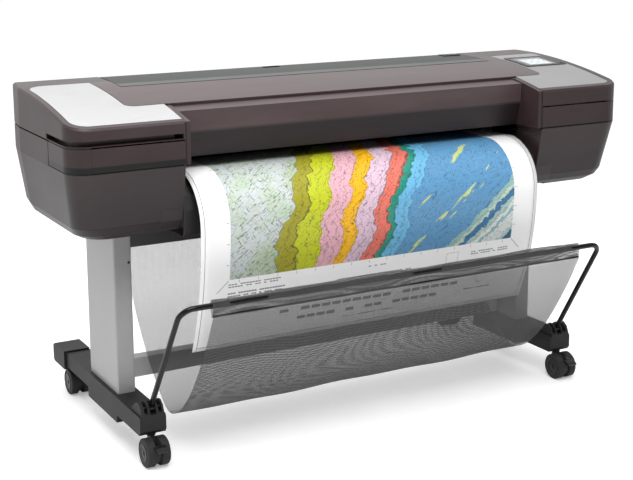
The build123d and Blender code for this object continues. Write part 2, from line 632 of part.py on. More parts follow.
def make_front_window():
    """Hinged front cover of three facets, carried on end pins in the cheeks."""
    axis_y, axis_z = WINDOW_AXIS
    outer = [(axis_y, axis_z + 5), (-192, 947), (-188, 893), (-166, 817), (-158, 818.5)]
    inner = [(-161.5, 822.5), (-163, 821.5), (-184, 894), (-187.6, 943.4), (axis_y, axis_z + 1)]
    with BuildPart() as window:
        with BuildSketch(side_plane(-WINDOW_HALF)):
            with BuildLine():
                Polyline(*outer, *inner, close=True)
            make_face()
            with Locations(WINDOW_AXIS):
                Circle(5)
        extrude(amount=2 * WINDOW_HALF)
        rod((-WINDOW_HALF - 7, *WINDOW_AXIS), (1, 0, 0), 2 * WINDOW_HALF + 14, 3.0)
    save(window, "front_window")


def make_roll_cover():
    """Rear cover over the media roll, hinged at the back, with a finger notch in front."""
    axis_y, axis_z = COVER_AXIS
    with BuildPart() as cover:
        with BuildSketch(side_plane(-ROLL_COVER_HALF)):
            with BuildLine():
                top = ThreePointArc((LID_BACK + 2, crown(LID_BACK + 2, 2)), (150, crown(150, 2)),
                                    (236, crown(236, 2)))
                bend = TangentArc(top @ 1, (254, 976), tangent=top % 1)
                Line(bend @ 1, (254, 884))
            trace(line_width=4)
        extrude(amount=2 * ROLL_COVER_HALF)
        under_crown((-ROLL_COVER_HALF, ROLL_COVER_HALF), (LID_BACK + 2, LID_BACK + 22), 984, -0.6)
        box(GRIP_X, (206, 234), (980, 1010), Mode.SUBTRACT)
        box((548, 612), (196, 232), (990, 998.5))
        for x in (-500, 500):
            box((x - 13, x + 13), (251, 257), (880, 926), Mode.SUBTRACT)
            for start in (x - 18, x + 13):
                box((start, start + 5), (axis_y - 6, 253), (axis_z - 6, axis_z + 30))
            rod((x - 16, axis_y, axis_z), (1, 0, 0), 32, 3.0)
    save(cover, "roll_cover")


def make_lower_cover():
    """Dark moulding under the paper exit, whose ends fill the cabinets' lower corners."""
    with BuildPart() as ends:
        cabinet_skirt()
        extrude(cover_end(0), amount=130, mode=Mode.INTERSECT)
        box((0, 950), (CABINET_FRONT + 50, 400), (600, 900), Mode.SUBTRACT)
        box((CABINET_IN - 8, CABINET_IN + 2), (-249, -232), (646, 686))
    with BuildPart() as cover:
        with BuildSketch(side_plane(-CABINET_IN + 0.5)):
            with BuildLine():
                Polyline((-160, 769), (-198, 761), (-238, 728), (-254, 690), (-249, 622), (-240, 613),
                         (-150, 613),
                         (-150, 617), (-238, 617), (-245, 624), (-250, 689), (-235, 725), (-196, 757),
                         (-160, 765), close=True)
            make_face()
        extrude(amount=2 * CABINET_IN - 1)
        add(ends.part)
        add(ends.part.mirror(Plane.YZ))
    save(cover, "lower_cover")


# ---------------------------------------------------------------- printing mechanism
def make_chassis():
    """Sheet-metal floor, back wall and side plates that hold the rollers and the roll."""
    plate = [(-150, 636), (-150, 770), (-24, 770), (-24, 808), (60, 808), (112, 925), (205, 925),
             (240, 870), (240, 636)]
    with BuildPart() as chassis:
        box((-584, 584), (-150, 240), (636, 640))
        box((-578, 578), (236, 240), (636, 870))
        for sign in (-1, 1):
            box((sign * 704 - 121, sign * 704 + 121), (-145, 200), (636, 640))
            with BuildSketch(side_plane(sign * 581 - 3)):
                with BuildLine():
                    Polyline(*plate, close=True)
                make_face()
            extrude(amount=6)
            rod((sign * 581 - 4, *FEED_AXIS), (1, 0, 0), 8, 6.0 + RUNNING, Mode.SUBTRACT)
            rod((sign * 581 - 4, *PINCH_AXIS), (1, 0, 0), 8, 4.0 + RUNNING, Mode.SUBTRACT)
            rod((sign * 581 - 4, *ROLL_AXIS), (1, 0, 0), 8, 12.0 + RUNNING, Mode.SUBTRACT)
            box((sign * 581 - 4, sign * 581 + 4),
                (ROLL_AXIS[0] - 12 - RUNNING, ROLL_AXIS[0] + 12 + RUNNING),
                (ROLL_AXIS[1], 930), Mode.SUBTRACT)
            box((sign * 500 - 8, sign * 500 + 8), (236, 251), (840, 912))
            rod((sign * 500 - 9, *COVER_AXIS), (1, 0, 0), 18, 3.0 + RUNNING, Mode.SUBTRACT)
    save(chassis, "chassis")


def make_platen():
    """Support under the sheet in front of the feed roller, with a sloping lip."""
    with BuildPart() as platen:
        with BuildSketch(side_plane(-570)):
            with BuildLine():
                Polyline((-26, 779.8), (-158, 779.8), (-196, 769), (-196, 766), (-160, 771.5),
                         (-26, 771.5), close=True)
            make_face()
        extrude(amount=1140)
    save(platen, "platen")


def make_feed():
    """Feed roller, its gear and pinion, the motor, and the pinch rollers above."""
    with BuildPart() as roller:
        rod((-560, *FEED_AXIS), (1, 0, 0), 1120, FEED_RADIUS - 0.4)
        rod((-616, *FEED_AXIS), (1, 0, 0), 1216, 6.0)
    save(roller, "feed_roller")
    with BuildPart() as gear:
        gear_blank(FEED_AXIS, -612, GEAR_TEETH, 6, 0)
        rod((-613, *FEED_AXIS), (1, 0, 0), 8, 6.0, Mode.SUBTRACT)
    save(gear, "feed_gear")
    with BuildPart() as pinion:
        gear_blank(PINION_AXIS, -612, PINION_TEETH, 6, 180 / PINION_TEETH)
        rod((-630, *PINION_AXIS), (1, 0, 0), 24, 2.5)
    save(pinion, "feed_pinion")
    with BuildPart() as motor:
        rod((-668, *PINION_AXIS), (1, 0, 0), 52, 21)
        rod((-631, *PINION_AXIS), (1, 0, 0), 16, 2.5 + RUNNING, Mode.SUBTRACT)
        box((-618, -616), (PINION_AXIS[0] - 30, PINION_AXIS[0] + 30), (640, 786))
        rod((-620, *PINION_AXIS), (1, 0, 0), 8, 10, Mode.SUBTRACT)
        rod((-619, *FEED_AXIS), (1, 0, 0), 8, 14, Mode.SUBTRACT)
        rod((-626, *PINION_AXIS), (1, 0, 0), 10, 10)
        rod((-631, *PINION_AXIS), (1, 0, 0), 18, 2.5 + RUNNING, Mode.SUBTRACT)
    save(motor, "feed_motor")
    with BuildPart() as pinch:
        rod((-587, *PINCH_AXIS), (1, 0, 0), 1174, 4.0)
        for x in range(-540, 541, 90):
            rod((x - 18, *PINCH_AXIS), (1, 0, 0), 36, PINCH_RADIUS)
    save(pinch, "pinch_rollers")


def make_carriage_system():
    """Rail beam with guide rod, carriage, toothed-belt loop, pulleys and motor."""
    rail_y, rail_z = RAIL_AXIS
    with BuildPart() as rail:
        box((-866, 866), (-20, 40), (812, 880))
        box((-867, 867), (-17, 41), (815, 877), Mode.SUBTRACT)
        for sign in (-1, 1):
            box((sign * 861 - 5, sign * 861 + 5), (rail_y - 12, -16), (rail_z - 14, rail_z + 14))
        rod((-866, *RAIL_AXIS), (1, 0, 0), 1732, 6.0)
    save(rail, "carriage_rail")
    with BuildPart() as carriage:
        box((CARRIAGE_X - 75, CARRIAGE_X + 75), (-140, -26), (800, 900))
        fillet(carriage.edges().filter_by(Axis.Z), 6)
        for slot in range(6):
            x = CARRIAGE_X - 55 + 22 * slot
            box((x - 7, x + 7), (-128, -70), (880, 901), Mode.SUBTRACT)
        box((CARRIAGE_X - 60, CARRIAGE_X + 60), (-130, -60), (790, 801))
        box((CARRIAGE_X - 20, CARRIAGE_X + 20), (PULLEY_Y - 8, PULLEY_Y + 8),
            (899, PULLEY_Z - PULLEY_RADIUS - 2.2))
        rod((CARRIAGE_X - 76, *RAIL_AXIS), (1, 0, 0), 152, 6.0 + RUNNING, Mode.SUBTRACT)
    save(carriage, "carriage")
    with BuildPart() as belt:
        with BuildSketch(Plane(origin=(0, PULLEY_Y - 3, PULLEY_Z), x_dir=(1, 0, 0), z_dir=(0, 1, 0))):
            SlotCenterToCenter(2 * PULLEY_X, 2 * (PULLEY_RADIUS + 1.7))
            SlotCenterToCenter(2 * PULLEY_X, 2 * (PULLEY_RADIUS + 0.3), mode=Mode.SUBTRACT)
        extrude(amount=6)
    save(belt, "carriage_belt")
    for sign, name in ((1, "drive_pulley"), (-1, "idler_pulley")):
        with BuildPart() as pulley:
            with Locations((sign * PULLEY_X, PULLEY_Y, PULLEY_Z)):
                Cylinder(PULLEY_RADIUS, 7, rotation=(90, 0, 0))
            rod((sign * PULLEY_X, PULLEY_Y - 4.6, PULLEY_Z), (0, 1, 0), 0.8, PULLEY_RADIUS + 3)
            rod((sign * PULLEY_X, PULLEY_Y + 3.8, PULLEY_Z), (0, 1, 0), 0.8, PULLEY_RADIUS + 3)
            rod((sign * PULLEY_X, PULLEY_Y, PULLEY_Z), (0, 1, 0), 22, 2.5)
        save(pulley, name)
    with BuildPart() as motor:
        for sign in (-1, 1):
            box((sign * PULLEY_X - 17, sign * PULLEY_X + 17), (PULLEY_Y + 6, PULLEY_Y + 9), (905, 955))
            box((sign * PULLEY_X - 17, sign * PULLEY_X + 17), (PULLEY_Y + 6, 20), (902, 905))
            box((sign * PULLEY_X - 17, sign * PULLEY_X + 17), (17, 20), (880, 905))
        rod((PULLEY_X, PULLEY_Y + 9, PULLEY_Z - 4), (0, 1, 0), 50, 18)
        rod((-PULLEY_X, PULLEY_Y + 9, PULLEY_Z), (0, 1, 0), 16, 7)
        for sign in (-1, 1):
            rod((sign * PULLEY_X, PULLEY_Y - 1, PULLEY_Z), (0, 1, 0), 24, 2.5 + RUNNING, Mode.SUBTRACT)
    save(motor, "carriage_motor")


def make_media():
    """Spindle, media roll on its core, and the printed sheet that hangs from the exit."""
    with BuildPart() as spindle:
        rod((-606, *ROLL_AXIS), (1, 0, 0), 1212, 12.0)
        for start in (-606, 594):
            rod((start, *ROLL_AXIS), (1, 0, 0), 12, 20)
        for start in (-576, 560):
            rod((start, *ROLL_AXIS), (1, 0, 0), 16, 46)
    save(spindle, "spindle")
    with BuildPart() as roll:
        rod((-PAPER_HALF, *ROLL_AXIS), (1, 0, 0), 2 * PAPER_HALF, 60)
        rod((-PAPER_HALF - 1, *ROLL_AXIS), (1, 0, 0), 2 * PAPER_HALF + 2, 38, Mode.SUBTRACT)
    save(roll, "media_roll")
    bend_z = PAPER_Z - PAPER_BEND
    curl_y = PAPER_DROP_Y - PAPER_BEND + PAPER_CURL
    with BuildPart() as sheet:
        with BuildSketch(side_plane(-PAPER_HALF)):
            with BuildLine():
                Line((-10, PAPER_Z), (PAPER_DROP_Y, PAPER_Z))
                CenterArc((PAPER_DROP_Y, bend_z), PAPER_BEND, 90, 90)
                CenterArc((curl_y, bend_z), PAPER_CURL, 180, PAPER_CURL_ANGLE)
            trace(line_width=PAPER_THICK)
        extrude(amount=2 * PAPER_HALF)
    save(sheet, "paper_sheet")


def make_inside_cabinets():
    """Cartridges behind the doors, the service station and the electronics box."""
    with BuildPart() as cartridges:
        for side, sign in SIDES:
            for x in (635, 715, 795):
                box((sign * x - 33, sign * x + 33), (-250, -152), (LOW_SEAM - 4, LOW_SEAM + 52))
                box((sign * x - 12, sign * x + 12), (-254, -250), (LOW_SEAM + 4, LOW_SEAM + 40))
    save(cartridges, "ink_cartridges")
    with BuildPart() as station:
        box((640, 784), (-138, -36), (640, 778))
        for x in range(6):
            box((655 + 20 * x, 669 + 20 * x), (-126, -66), (777, 785))
    save(station, "service_station")
    with BuildPart() as electronics:
        box((-815, -630), (90, 226), (640, 860))
        box((-INLET_X[1], -INLET_X[0]), (225, 253), INLET_Z)
        box((-733, -703), (238, 254), (690, 712), Mode.SUBTRACT)
        box((-694, -672), (243, 254), (690, 712), Mode.SUBTRACT)
        rod((-696, SWITCH_AXIS[0], SWITCH_AXIS[1]), (1, 0, 0), 26, 1.5 + RUNNING, Mode.SUBTRACT)
    save(electronics, "electronics_box")
    with BuildPart() as switch:
        with BuildSketch(side_plane(-693)):
            with BuildLine():
                Polyline((SWITCH_AXIS[0] + 3, 692), (SWITCH_AXIS[0] + 6.5, 692),
                         (SWITCH_AXIS[0] + 4.5, 701),
                         (SWITCH_AXIS[0] + 4.5, 710), (SWITCH_AXIS[0] - 2, 706), (SWITCH_AXIS[0] - 2,
                                                                                  696), close=True)
            make_face()
        extrude(amount=20)
        rod((-695.5, SWITCH_AXIS[0], SWITCH_AXIS[1]), (1, 0, 0), 25, 1.5)
    save(switch, "power_switch")


def make_control_panel():
    """Framed touch screen set in the right top panel, with a power button."""
    with BuildPart() as frame:
        with BuildSketch(Plane.XY.offset(900)):
            with Locations(((PANEL_X[0] + PANEL_X[1]) / 2, (PANEL_Y[0] + PANEL_Y[1]) / 2)):
                RectangleRounded(PANEL_X[1] - PANEL_X[0], PANEL_Y[1] - PANEL_Y[0], 8)
        extrude(amount=110)
        crown_band((400, HALF_WIDTH + 20), (-320, 300), 0.4, -1.6, Mode.INTERSECT)
        crown_band((PANEL_X[0] + 4, PANEL_X[1] - 4), (PANEL_Y[0] + 4, PANEL_Y[1] - 4), 14, 0.3)
        crown_band(SCREEN_X, SCREEN_Y, 3, -3, Mode.SUBTRACT)
        rod((*BUTTON_XY, crown(BUTTON_XY[1]) - 8), (0, 0, 1), 14, 5.3, Mode.SUBTRACT)
    save(frame, "control_panel")
    with BuildPart() as screen:
        crown_band((SCREEN_X[0] + 0.3, SCREEN_X[1] - 0.3), (SCREEN_Y[0] + 0.3, SCREEN_Y[1] - 0.3), 2.9,
                   -1.0)
    save(screen, "touch_screen")
    with BuildPart() as button:
        rod((*BUTTON_XY, crown(BUTTON_XY[1]) - 5), (0, 0, 1), 7.4, 4.9)
    save(button, "power_button")


make_feet()
make_end_caps()
make_columns()
make_beams()
make_casters()
make_brakes()
make_basket()
make_cabinet_lower()
make_cabinet_upper()
make_top_panels()
make_bands()
make_ink_doors()
make_top_cover()
make_front_window()
make_roll_cover()
make_lower_cover()
make_chassis()
make_platen()
make_feed()
make_carriage_system()
make_media()
make_inside_cabinets()
make_control_panel()
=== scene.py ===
"""Large format plotter on a wheeled stand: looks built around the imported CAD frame."""

import json
import math

import bmesh
import bpy
from mathutils import Matrix, Vector

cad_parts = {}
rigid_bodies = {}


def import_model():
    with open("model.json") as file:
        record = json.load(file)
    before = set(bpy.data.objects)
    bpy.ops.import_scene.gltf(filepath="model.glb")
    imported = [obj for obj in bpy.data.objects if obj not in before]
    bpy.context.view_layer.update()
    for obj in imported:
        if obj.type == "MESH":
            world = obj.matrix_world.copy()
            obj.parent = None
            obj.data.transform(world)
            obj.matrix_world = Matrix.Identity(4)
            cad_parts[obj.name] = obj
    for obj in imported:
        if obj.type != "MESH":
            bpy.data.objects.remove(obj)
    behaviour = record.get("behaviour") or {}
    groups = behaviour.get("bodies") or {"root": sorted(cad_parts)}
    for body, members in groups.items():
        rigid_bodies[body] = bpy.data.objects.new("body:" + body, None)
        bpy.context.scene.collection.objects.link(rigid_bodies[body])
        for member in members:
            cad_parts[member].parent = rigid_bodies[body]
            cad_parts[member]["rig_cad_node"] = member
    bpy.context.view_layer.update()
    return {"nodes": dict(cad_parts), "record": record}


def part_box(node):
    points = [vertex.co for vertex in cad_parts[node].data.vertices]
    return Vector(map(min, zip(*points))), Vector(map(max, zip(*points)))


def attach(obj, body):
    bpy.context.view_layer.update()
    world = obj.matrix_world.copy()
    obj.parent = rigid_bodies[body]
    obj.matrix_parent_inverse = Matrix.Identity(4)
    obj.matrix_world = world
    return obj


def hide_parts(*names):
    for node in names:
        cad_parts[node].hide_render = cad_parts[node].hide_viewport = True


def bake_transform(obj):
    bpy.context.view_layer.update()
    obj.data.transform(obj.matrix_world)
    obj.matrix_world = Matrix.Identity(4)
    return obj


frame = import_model()
RECORD = frame["record"]
NODES = frame["nodes"]


# ------------------------------------------------------------------ sizes, in metres
def centre(node):
    """The middle of a CAD node's box."""
    low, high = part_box(node)
    return (low + high) / 2


ROD = centre("basket_rear_rod")
ROD_RADIUS = (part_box("basket_rear_rod")[1].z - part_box("basket_rear_rod")[0].z) / 2
HEM = centre("basket_hem_rod")
HEM_RADIUS = (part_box("basket_hem_rod")[1].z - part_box("basket_hem_rod")[0].z) / 2
TUBE_RADIUS = 0.0075
TUBE_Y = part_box("basket_tube")[0].y + TUBE_RADIUS
TUBE_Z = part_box("basket_tube")[1].z - TUBE_RADIUS
CLOTH_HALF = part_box("basket_rear_panel")[1].x       # half the width of the mesh fabric
CLOTH_THICK = 0.0004
HEM_FOLD = 0.013                                    # the hem's folded edge stands this far over the tube
HEM_ROUND = 0.0024
CLOTH_GAP = 0.0009                                  # between the fabric and what it goes round

SHEET_LOW, SHEET_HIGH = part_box("paper_sheet")
SHEET_HALF = SHEET_HIGH.x
SHEET_THICK = 0.0004
SHEET_BACK_Y = -0.010                               # where the sheet leaves the feed roller
SHEET_BEND = 0.140                                  # radius of the sheet over the platen's edge
SHEET_BEND_Y = SHEET_LOW.y + SHEET_BEND             # where that bend starts
SHEET_CURL = 0.864                                  # radius of the roll curl left in the sheet
SHEET_CURL_ANGLE = math.radians(24.7)
SHEET_TOP = SHEET_HIGH.z - SHEET_THICK / 2

CABINET_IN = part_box("right_ink_door")[0].x         # the cabinets' inner faces
RAIL_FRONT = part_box("roll_cover")[0].y + 0.0015     # the roll cover's front edge, its bevel and its top
BEVEL_BACK = RAIL_FRONT + 0.040
RAIL_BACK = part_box("roll_cover")[1].y - 0.010
PANEL_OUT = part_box("right_top_panel")[1].x
PANEL_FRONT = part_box("right_top_panel")[0].y
PANEL_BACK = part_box("right_top_panel")[1].y
RIM_HIGHLIGHT_WIDTH = 0.0022                                  # the width of the painted highlight along the left top panel's bevelled edge
LID_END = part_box("top_cover")[1].x
LID_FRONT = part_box("top_cover")[0].y
WINDOW_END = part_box("front_window")[1].x
WINDOW_FOLD = 0.893                                 # the fold between the window's two front facets
SCREEN_LEFT, SCREEN_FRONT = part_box("touch_screen")[0].x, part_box("touch_screen")[0].y
SCREEN_RIGHT, SCREEN_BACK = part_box("touch_screen")[1].x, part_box("touch_screen")[1].y


# ------------------------------------------------------------------ node graphs
def tone(red, green, blue, alpha=1.0):
    """A display colour, 0 to 255, as the linear colour that a shader takes."""
    def linear(value):
        share = value / 255
        return share / 12.92 if share <= 0.04045 else ((share + 0.055) / 1.055) ** 2.4
    return (linear(red), linear(green), linear(blue), alpha)


class Signal:
    """One number in a node graph. Arithmetic on it adds Math nodes."""

    def __init__(self, graph, socket):
        self.graph = graph
        self.socket = socket

    def math(self, operation, *others, clamp=False):
        node = self.graph.tree.nodes.new("ShaderNodeMath")
        node.operation = operation
        node.use_clamp = clamp
        for slot, value in zip(node.inputs, (self, *others)):
            self.graph.feed(slot, value)
        return Signal(self.graph, node.outputs[0])

    def __add__(self, other):
        return self.math("ADD", other)

    def __sub__(self, other):
        return self.math("SUBTRACT", other)

    def __rsub__(self, other):
        return self.math("MULTIPLY_ADD", -1.0, other)

    def __mul__(self, other):
        return self.math("MULTIPLY", other)

    def __truediv__(self, other):
        return self.math("DIVIDE", other)

    def __gt__(self, other):
        return self.math("GREATER_THAN", other)

    def __lt__(self, other):
        return self.math("LESS_THAN", other)

    def __abs__(self):
        return self.math("ABSOLUTE")

    def fract(self):
        return self.math("FRACT")

    def floor(self):
        return self.math("FLOOR")

    def clamped(self):
        return self.math("MULTIPLY", 1.0, clamp=True)

    def between(self, low, high):
        return (self > low) * (self < high)

    def either(self, other):
        return self.math("MAXIMUM", other)

    __radd__ = __add__
    __rmul__ = __mul__


class Graph:
    """The node graph of one material, which ends in its Principled shader."""

    def __init__(self, name, **sockets):
        self.material = bpy.data.materials.new(name)
        self.material.use_nodes = True
        self.tree = self.material.node_tree
        self.shader = self.tree.nodes["Principled BSDF"]
        for label, value in sockets.items():
            self.feed(self.shader.inputs[label.replace("_", " ")], value)

    def feed(self, slot, value):
        """Links a signal or socket to slot, or sets its own value."""
        if isinstance(value, Signal):
            value = value.socket
        if isinstance(value, bpy.types.NodeSocket):
            self.tree.links.new(value, slot)
        else:
            slot.default_value = value

    def node(self, kind, settings=None, **inputs):
        made = self.tree.nodes.new("ShaderNode" + kind)
        for label, value in (settings or {}).items():
            setattr(made, label, value)
        for label, value in inputs.items():
            self.feed(made.inputs[label.replace("_", " ")], value)
        return made

    def place(self):
        """The point on the object, in metres."""
        return self.node("TexCoord").outputs["Object"]

    def across_along(self):
        """The two directions of a sheet, in metres, from its UV layer."""
        parts = self.node("SeparateXYZ", Vector=self.node("UVMap").outputs["UV"])
        return Signal(self, parts.outputs["X"]), Signal(self, parts.outputs["Y"])

    def vector(self, x=0.0, y=0.0, z=0.0):
        return self.node("CombineXYZ", X=x, Y=y, Z=z).outputs["Vector"]

    def scaled(self, vector, x, y, z):
        """A vector with each axis stretched by its own number."""
        mapping = self.node("Mapping", Vector=vector)
        mapping.inputs["Scale"].default_value = (x, y, z)
        return mapping.outputs["Vector"]

    def noise(self, vector, scale, detail=2.0, roughness=0.5):
        made = self.node("TexNoise", Vector=vector, Scale=scale, Detail=detail, Roughness=roughness)
        return Signal(self, made.outputs["Fac"])

    def cells(self, vector, scale, feature="F1"):
        made = self.node("TexVoronoi", {"feature": feature}, Vector=vector, Scale=scale)
        return Signal(self, made.outputs["Distance"])

    def random(self, vector):
        """A random number for each value of a vector."""
        made = self.node("TexWhiteNoise", {"noise_dimensions": "3D"}, Vector=vector)
        return Signal(self, made.outputs["Value"])

    def ramp(self, signal, stops, interpolation="LINEAR"):
        """A colour that depends on a number. Stops are (number, colour)."""
        made = self.node("ValToRGB", Fac=signal)
        made.color_ramp.interpolation = interpolation
        elements = made.color_ramp.elements
        elements[0].position, elements[0].color = stops[0]
        elements[1].position, elements[1].color = stops[-1]
        for position, colour in stops[1:-1]:
            elements.new(position).color = colour
        return made.outputs["Color"]

    def span(self, signal, low, high, out_low=0.0, out_high=1.0):
        """A number moved from one span to another, and kept inside it."""
        made = self.node("MapRange", Value=signal)
        for label, value in (("From Min", low), ("From Max", high), ("To Min", out_low), ("To Max", out_high)):
            made.inputs[label].default_value = value
        return Signal(self, made.outputs["Result"])

    def mix(self, share, first, second):
        made = self.tree.nodes.new("ShaderNodeMix")
        made.data_type = "RGBA"
        for slot, value in zip((made.inputs[0], made.inputs[6], made.inputs[7]), (share, first, second)):
            self.feed(slot, value)
        return made.outputs[2]

    def bump(self, height, distance):
        """Raises the surface by height times distance in metres."""
        made = self.node("Bump", Height=height, Distance=distance)
        self.feed(self.shader.inputs["Normal"], made.outputs["Normal"])

    def set(self, **sockets):
        for label, value in sockets.items():
            self.feed(self.shader.inputs[label.replace("_", " ")], value)


# ------------------------------------------------------------------ materials
def moulded(name, colour, roughness, grain=0.0009, depth=0.00005, spread=0.10, specular=0.5):
    """Moulded plastic: a fine spark-eroded grain, soft clouds of colour and wiped patches in the gloss."""
    graph = Graph(name, Specular_IOR_Level=specular)
    place = graph.place()
    cloud = graph.noise(place, 9.0, 3.0)
    fine = graph.noise(place, 1 / grain, 2.0, 0.6)
    dark = tuple(c * (1 - spread) for c in colour[:3]) + (1,)
    light = tuple(min(1.0, c * (1 + spread)) for c in colour[:3]) + (1,)
    mottled = graph.span(cloud * 0.7 + fine * 0.3, 0.35, 0.65)
    graph.set(Base_Color=graph.mix(mottled, dark, light))
    graph.set(Roughness=graph.span(cloud * 0.6 + fine * 0.4, 0.3, 0.7, roughness - 0.05, roughness + 0.06))
    graph.bump(fine, depth)
    return graph.material


LOW_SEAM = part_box("left_band")[0].z + 0.002   # under the band and the ink doors
MID_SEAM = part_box("right_cabinet_upper")[0].z - 0.002
STRIP_SEAM = 0.665              # above the strip that turns under the cabinets
BAND_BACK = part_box("left_band")[1].y
SEAM_HALF = 0.0022


def body_plastic():
    """The cabinets' dark brown plastic, satin with soft clouds, painted lighter towards the top and darker towards
    the bottom as painted light and shade from above, with near-black painted shade in its seams and grooves, its
    recessed finger grip and along its cheeks.
    """
    graph = Graph("body_plastic", Specular_IOR_Level=0.40)
    place = graph.place()
    parts = graph.node("SeparateXYZ", Vector=place)
    across = Signal(graph, parts.outputs["X"])
    depth = Signal(graph, parts.outputs["Y"])
    height = Signal(graph, parts.outputs["Z"])
    cloud = graph.noise(graph.scaled(place, 1.0, 1.0, 1.8), 3.2, 3.0)
    fine = graph.noise(place, 1100.0, 2.0, 0.6)
    mottled = graph.span(cloud * 0.85 + fine * 0.15, 0.34, 0.66)
    # painted light and shade: the body is painted lighter towards the top and darker towards the bottom, as if lit
    # from above
    lit_upper = graph.mix(mottled, tone(50, 37, 39), tone(62, 48, 50))
    shaded_lower = graph.mix(mottled, tone(30, 21, 23), tone(40, 30, 32))
    colour = graph.mix(graph.span(height, 0.70, 0.93), shaded_lower, lit_upper)
    # painted shade: the seams, the grooves, the recessed finger grip and the cheeks are painted near-black for the
    # shade inside them
    beside_band = depth < BAND_BACK + 0.004
    seam_shade = beside_band * (abs(height - LOW_SEAM) < SEAM_HALF)
    seam_shade = seam_shade.either(abs(height - MID_SEAM) < SEAM_HALF)
    seam_shade = seam_shade.either(abs(height - STRIP_SEAM) < 0.0017)
    side = abs(across) > 0.870
    below = height.between(STRIP_SEAM, MID_SEAM)
    seam_shade = seam_shade.either(side * below * (abs(depth - 0.156) < 0.0010))
    seam_shade = seam_shade.either(below * (abs(across) > 0.80) * (abs(depth + 0.214) < 0.0010))
    seam_shade = seam_shade.either(side * height.between(MID_SEAM, 0.963) * (abs(depth + 0.086) < 0.0013))
    recess_shade = (across < -CABINET_IN) * height.between(MID_SEAM, MID_SEAM + 0.0184) * (depth < -0.0875)
    seam_shade = seam_shade.either(recess_shade) * (abs(across) > CABINET_IN)
    cheek_shade = (abs(abs(across) - CABINET_IN) < 0.0017) * (depth < -0.200) * (height > LOW_SEAM)
    seam_shade = seam_shade.either(cheek_shade)
    graph.set(Base_Color=graph.mix(seam_shade, colour, tone(6, 6, 7)))
    graph.set(Roughness=graph.span(cloud * 0.7 + fine * 0.3, 0.3, 0.7, 0.30, 0.44))
    graph.bump(fine, 0.00003)
    return graph.material


def lower_cover_plastic():
    """Black under the paper exit, and the cabinets' brown at the two ends that fill their corners."""
    graph = Graph("lower_cover_plastic", Roughness=0.42)
    place = graph.place()
    across = Signal(graph, graph.node("SeparateXYZ", Vector=place).outputs["X"])
    fine = graph.noise(place, 900.0, 2.0, 0.6)
    cloud = graph.noise(place, 5.0, 3.0)
    brown = graph.mix(graph.span(cloud, 0.35, 0.65), tone(28, 20, 22), tone(36, 27, 29))
    black = graph.mix(graph.span(cloud, 0.35, 0.65), tone(20, 18, 19), tone(28, 25, 26))
    graph.set(Base_Color=graph.mix(abs(across) > CABINET_IN, black, brown))
    graph.bump(fine, 0.00004)
    return graph.material


def lid_plastic():
    """The lid's satin brown, with a black gasket down both of its ends."""
    graph = Graph("lid_plastic")
    place = graph.place()
    parts = graph.node("SeparateXYZ", Vector=place)
    across = Signal(graph, parts.outputs["X"])
    depth = Signal(graph, parts.outputs["Y"])
    cloud = graph.noise(graph.scaled(place, 0.7, 2.5, 2.5), 3.0, 3.0)
    fine = graph.noise(place, 900.0, 2.0, 0.6)
    brown = graph.mix(graph.span(cloud * 0.85 + fine * 0.15, 0.34, 0.66), tone(62, 47, 49), tone(78, 61, 63))
    gasket = (abs(across) > LID_END - 0.0022) * (depth > LID_FRONT + 0.025)
    gasket = gasket.either((depth < LID_FRONT + 0.0020) * (abs(across) > WINDOW_END))
    graph.set(Base_Color=graph.mix(gasket, brown, tone(8, 8, 8)))
    graph.set(Roughness=graph.span(cloud, 0.3, 0.7, 0.30, 0.40))
    graph.bump(fine, 0.00002)
    return graph.material


def window_plastic():
    """The front window's smoked plastic, painted lighter above its fold and darker below it, as painted light and
    shade from above.
    """
    graph = Graph("window_plastic", Specular_IOR_Level=0.28)
    place = graph.place()
    height = Signal(graph, graph.node("SeparateXYZ", Vector=place).outputs["Z"])
    cloud = graph.noise(graph.scaled(place, 1.0, 4.0, 4.0), 3.0, 3.0)
    fine = graph.noise(place, 1000.0, 2.0, 0.6)
    # painted light and shade: the facet above the fold is painted lighter and the one below darker, as if lit from
    # above
    lit_upper = graph.mix(graph.span(cloud, 0.35, 0.65), tone(66, 53, 54), tone(80, 66, 67))
    shaded_lower = graph.mix(graph.span(cloud, 0.35, 0.65), tone(26, 18, 20), tone(36, 27, 29))
    graph.set(Base_Color=graph.mix(graph.span(height, WINDOW_FOLD - 0.010, WINDOW_FOLD + 0.001), shaded_lower, lit_upper))
    graph.set(Roughness=graph.span(cloud, 0.3, 0.7, 0.30, 0.40))
    graph.bump(fine, 0.00002)
    return graph.material


def roll_cover_plastic():
    """Green-grey over the top, with a paler bevel along the front edge, and the lid's brown down the back."""
    graph = Graph("roll_cover_plastic", Roughness=0.42, Specular_IOR_Level=0.3)
    place = graph.place()
    depth = Signal(graph, graph.node("SeparateXYZ", Vector=place).outputs["Y"])
    fine = graph.noise(place, 900.0, 2.0, 0.6)
    cloud = graph.noise(place, 4.0, 3.0)
    brown = graph.mix(graph.span(cloud, 0.35, 0.65), tone(56, 47, 47), tone(70, 60, 60))
    top = depth < RAIL_BACK
    green_grey = graph.mix(cloud, tone(22, 28, 25), tone(40, 47, 43))
    colour = graph.mix(top, brown, green_grey)
    colour = graph.mix(depth < BEVEL_BACK, colour, graph.mix(cloud, tone(66, 70, 67), tone(88, 92, 89)))
    graph.set(Base_Color=graph.mix(depth < RAIL_FRONT, colour, tone(12, 12, 12)))
    graph.bump(fine, 0.00003)
    return graph.material


